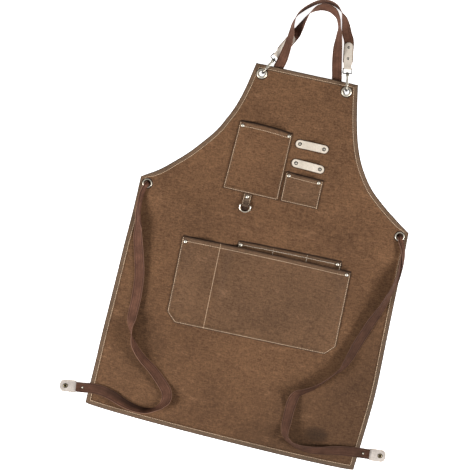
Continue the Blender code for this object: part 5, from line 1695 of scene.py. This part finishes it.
def make_tip(side):
    """A leather paddle with a snap eyelet; its narrow tongue lies under the webbing's end."""
    name = "strap_tip_" + side_name(side)
    place = tip_frame(side)
    half = TIP_WIDTH / 2
    outline = [(along, TONGUE_WIDTH / 2) for along in steps(-TONGUE, -0.0008, 0.003)]
    outline += [(0.0, half * 0.86), (0.0006, half * 0.94), (0.0018, half)]
    start = TIP_LENGTH - half * 0.8
    outline += [(along, half) for along in steps(0.0018, start, 0.002)[1:]]
    for angle in steps(math.pi / 2, 0.0, 0.11)[1:]:
        outline.append((start + half * 0.8 * math.cos(angle), max(half * math.sin(angle) ** 0.8, 0.0006)))
    acrosses = steps(1.0, -1.0, 0.13)
    rows = [[tuple(place @ Vector((along, across * width, 0.0))) for across in acrosses]
            for along, width in outline]
    cloth(name + "_leather", rows, TIP_LEATHER, GREY_LEATHER, [name], "leather",
          lambda row, column: (outline[row][1] * (1 - abs(acrosses[column])), 1.0), edge=0.0004)
    at = place @ Vector((0.0235, 0, 0))
    top = TIP_LEATHER
    profile = [(0.0, top + 0.0004), (0.0016, top + 0.0004), (0.0022, top + 0.0010), (0.0026, top + 0.0016),
               (0.0034, top + 0.0018), (0.0044, top + 0.0014), (0.0052, top + 0.0002), (0.0050, top - 0.0004),
               (0.0, top - 0.0004)]
    turned("tip_eyelet_%s_cap" % side_name(side), profile, 32, shift(at.x, at.y, 0.0), DARK_CAP,
           ["tip_eyelet_" + side_name(side)])
    return place


def make_straps(panel):
    ground = surface_of(panel)
    for name, side, stations in (("strap_a", -1, strap_a_stations()), ("strap_b", 1, strap_b_stations())):
        nodes = [name, "waist_tie_" + side_name(side)]
        strap, length = make_strap(name + "_webbing", stations, ground, nodes)
        place = make_tip(side)
        at = place @ Vector((-0.0145, 0, 0))
        add_rivet(name + "_end_rivet", (at.x, at.y), strap, 0.0030, 0.0010, TIE_CAP)


# The ring

def make_ring():
    x, y = RING_AT[0], RING_AT[1] + WAIST
    base = flat_top(x, y) + GAP
    bar = base + RING_TAB_THICKNESS + GAP + RING_WIRE
    half, length = RING_WIDTH / 2 - RING_WIRE, RING_LENGTH - 2 * RING_WIRE
    bend = [(-half + 0.001, 0.0), (half - 0.001, 0.0), (half - 0.0002, -0.0004), (half, -0.0012)]
    bend += [(half * math.cos(a), -length * math.sin(a) ** 0.75) for a in steps(0.13, math.pi - 0.13, 0.13)]
    bend += [(-half, -0.0012), (-half + 0.0002, -0.0004)]
    route = [(x + across, y + along, mix(bar, base + RING_WIRE, -along / length)) for across, along in bend]
    joined("d_ring_wire", [wire_mesh("ring_wire", route, RING_WIRE, True)], BRIGHT_WIRE, ["d_ring"])
    reach = pocket_point(POCKETS[0], 0.45, 1.0).y - GAP - y
    place = frame_at((x, y), math.pi / 2)
    tab = folded_strip("ring_tab_cloth", place, 0.0, bar, RING_WIRE, reach, RING_TAB_WIDTH, RING_TAB_WIDTH,
                       RING_TAB_THICKNESS, GAP, (TAB_CANVAS, "canvas"), ["ring_tab"], False)
    edges = [[place @ Vector((along, across, 0)) for along in (0.002, reach - 0.001)]
             for across in (0.0018 - RING_TAB_WIDTH / 2, RING_TAB_WIDTH / 2 - 0.0018)]
    sew("ring_tab_stitches", tab, edges)
    at = place @ Vector((reach * 0.74, 0, 0))
    add_rivet("ring_tab_rivet", (at.x, at.y), tab, RIVET_HEAD, 0.0016)


# The floor, and everything on it

def lay_floor():
    shape = bmesh.new()
    bmesh.ops.create_grid(shape, x_segments=1, y_segments=1, size=6.0)
    bmesh.ops.translate(shape, verts=shape.verts, vec=(0.0, 0.0, -0.0006))
    mesh = mesh_of(shape, "studio_floor")
    mesh.materials.append(floor_finish())
    floor = bpy.data.objects.new("studio_floor", mesh)
    bpy.context.scene.collection.objects.link(floor)


lay_floor()
panel = make_panel()
sew("panel_stitches", panel, hem_line(HEM_STITCH))
make_grommets()
for index, pocket in enumerate(POCKETS):
    made = make_pocket(pocket, index)
    pocket_size(pocket)
make_tool_loops()
make_ring()
for side in (-1, 1):
    make_hook(side)
    make_hook_tab(side)
make_straps(panel)
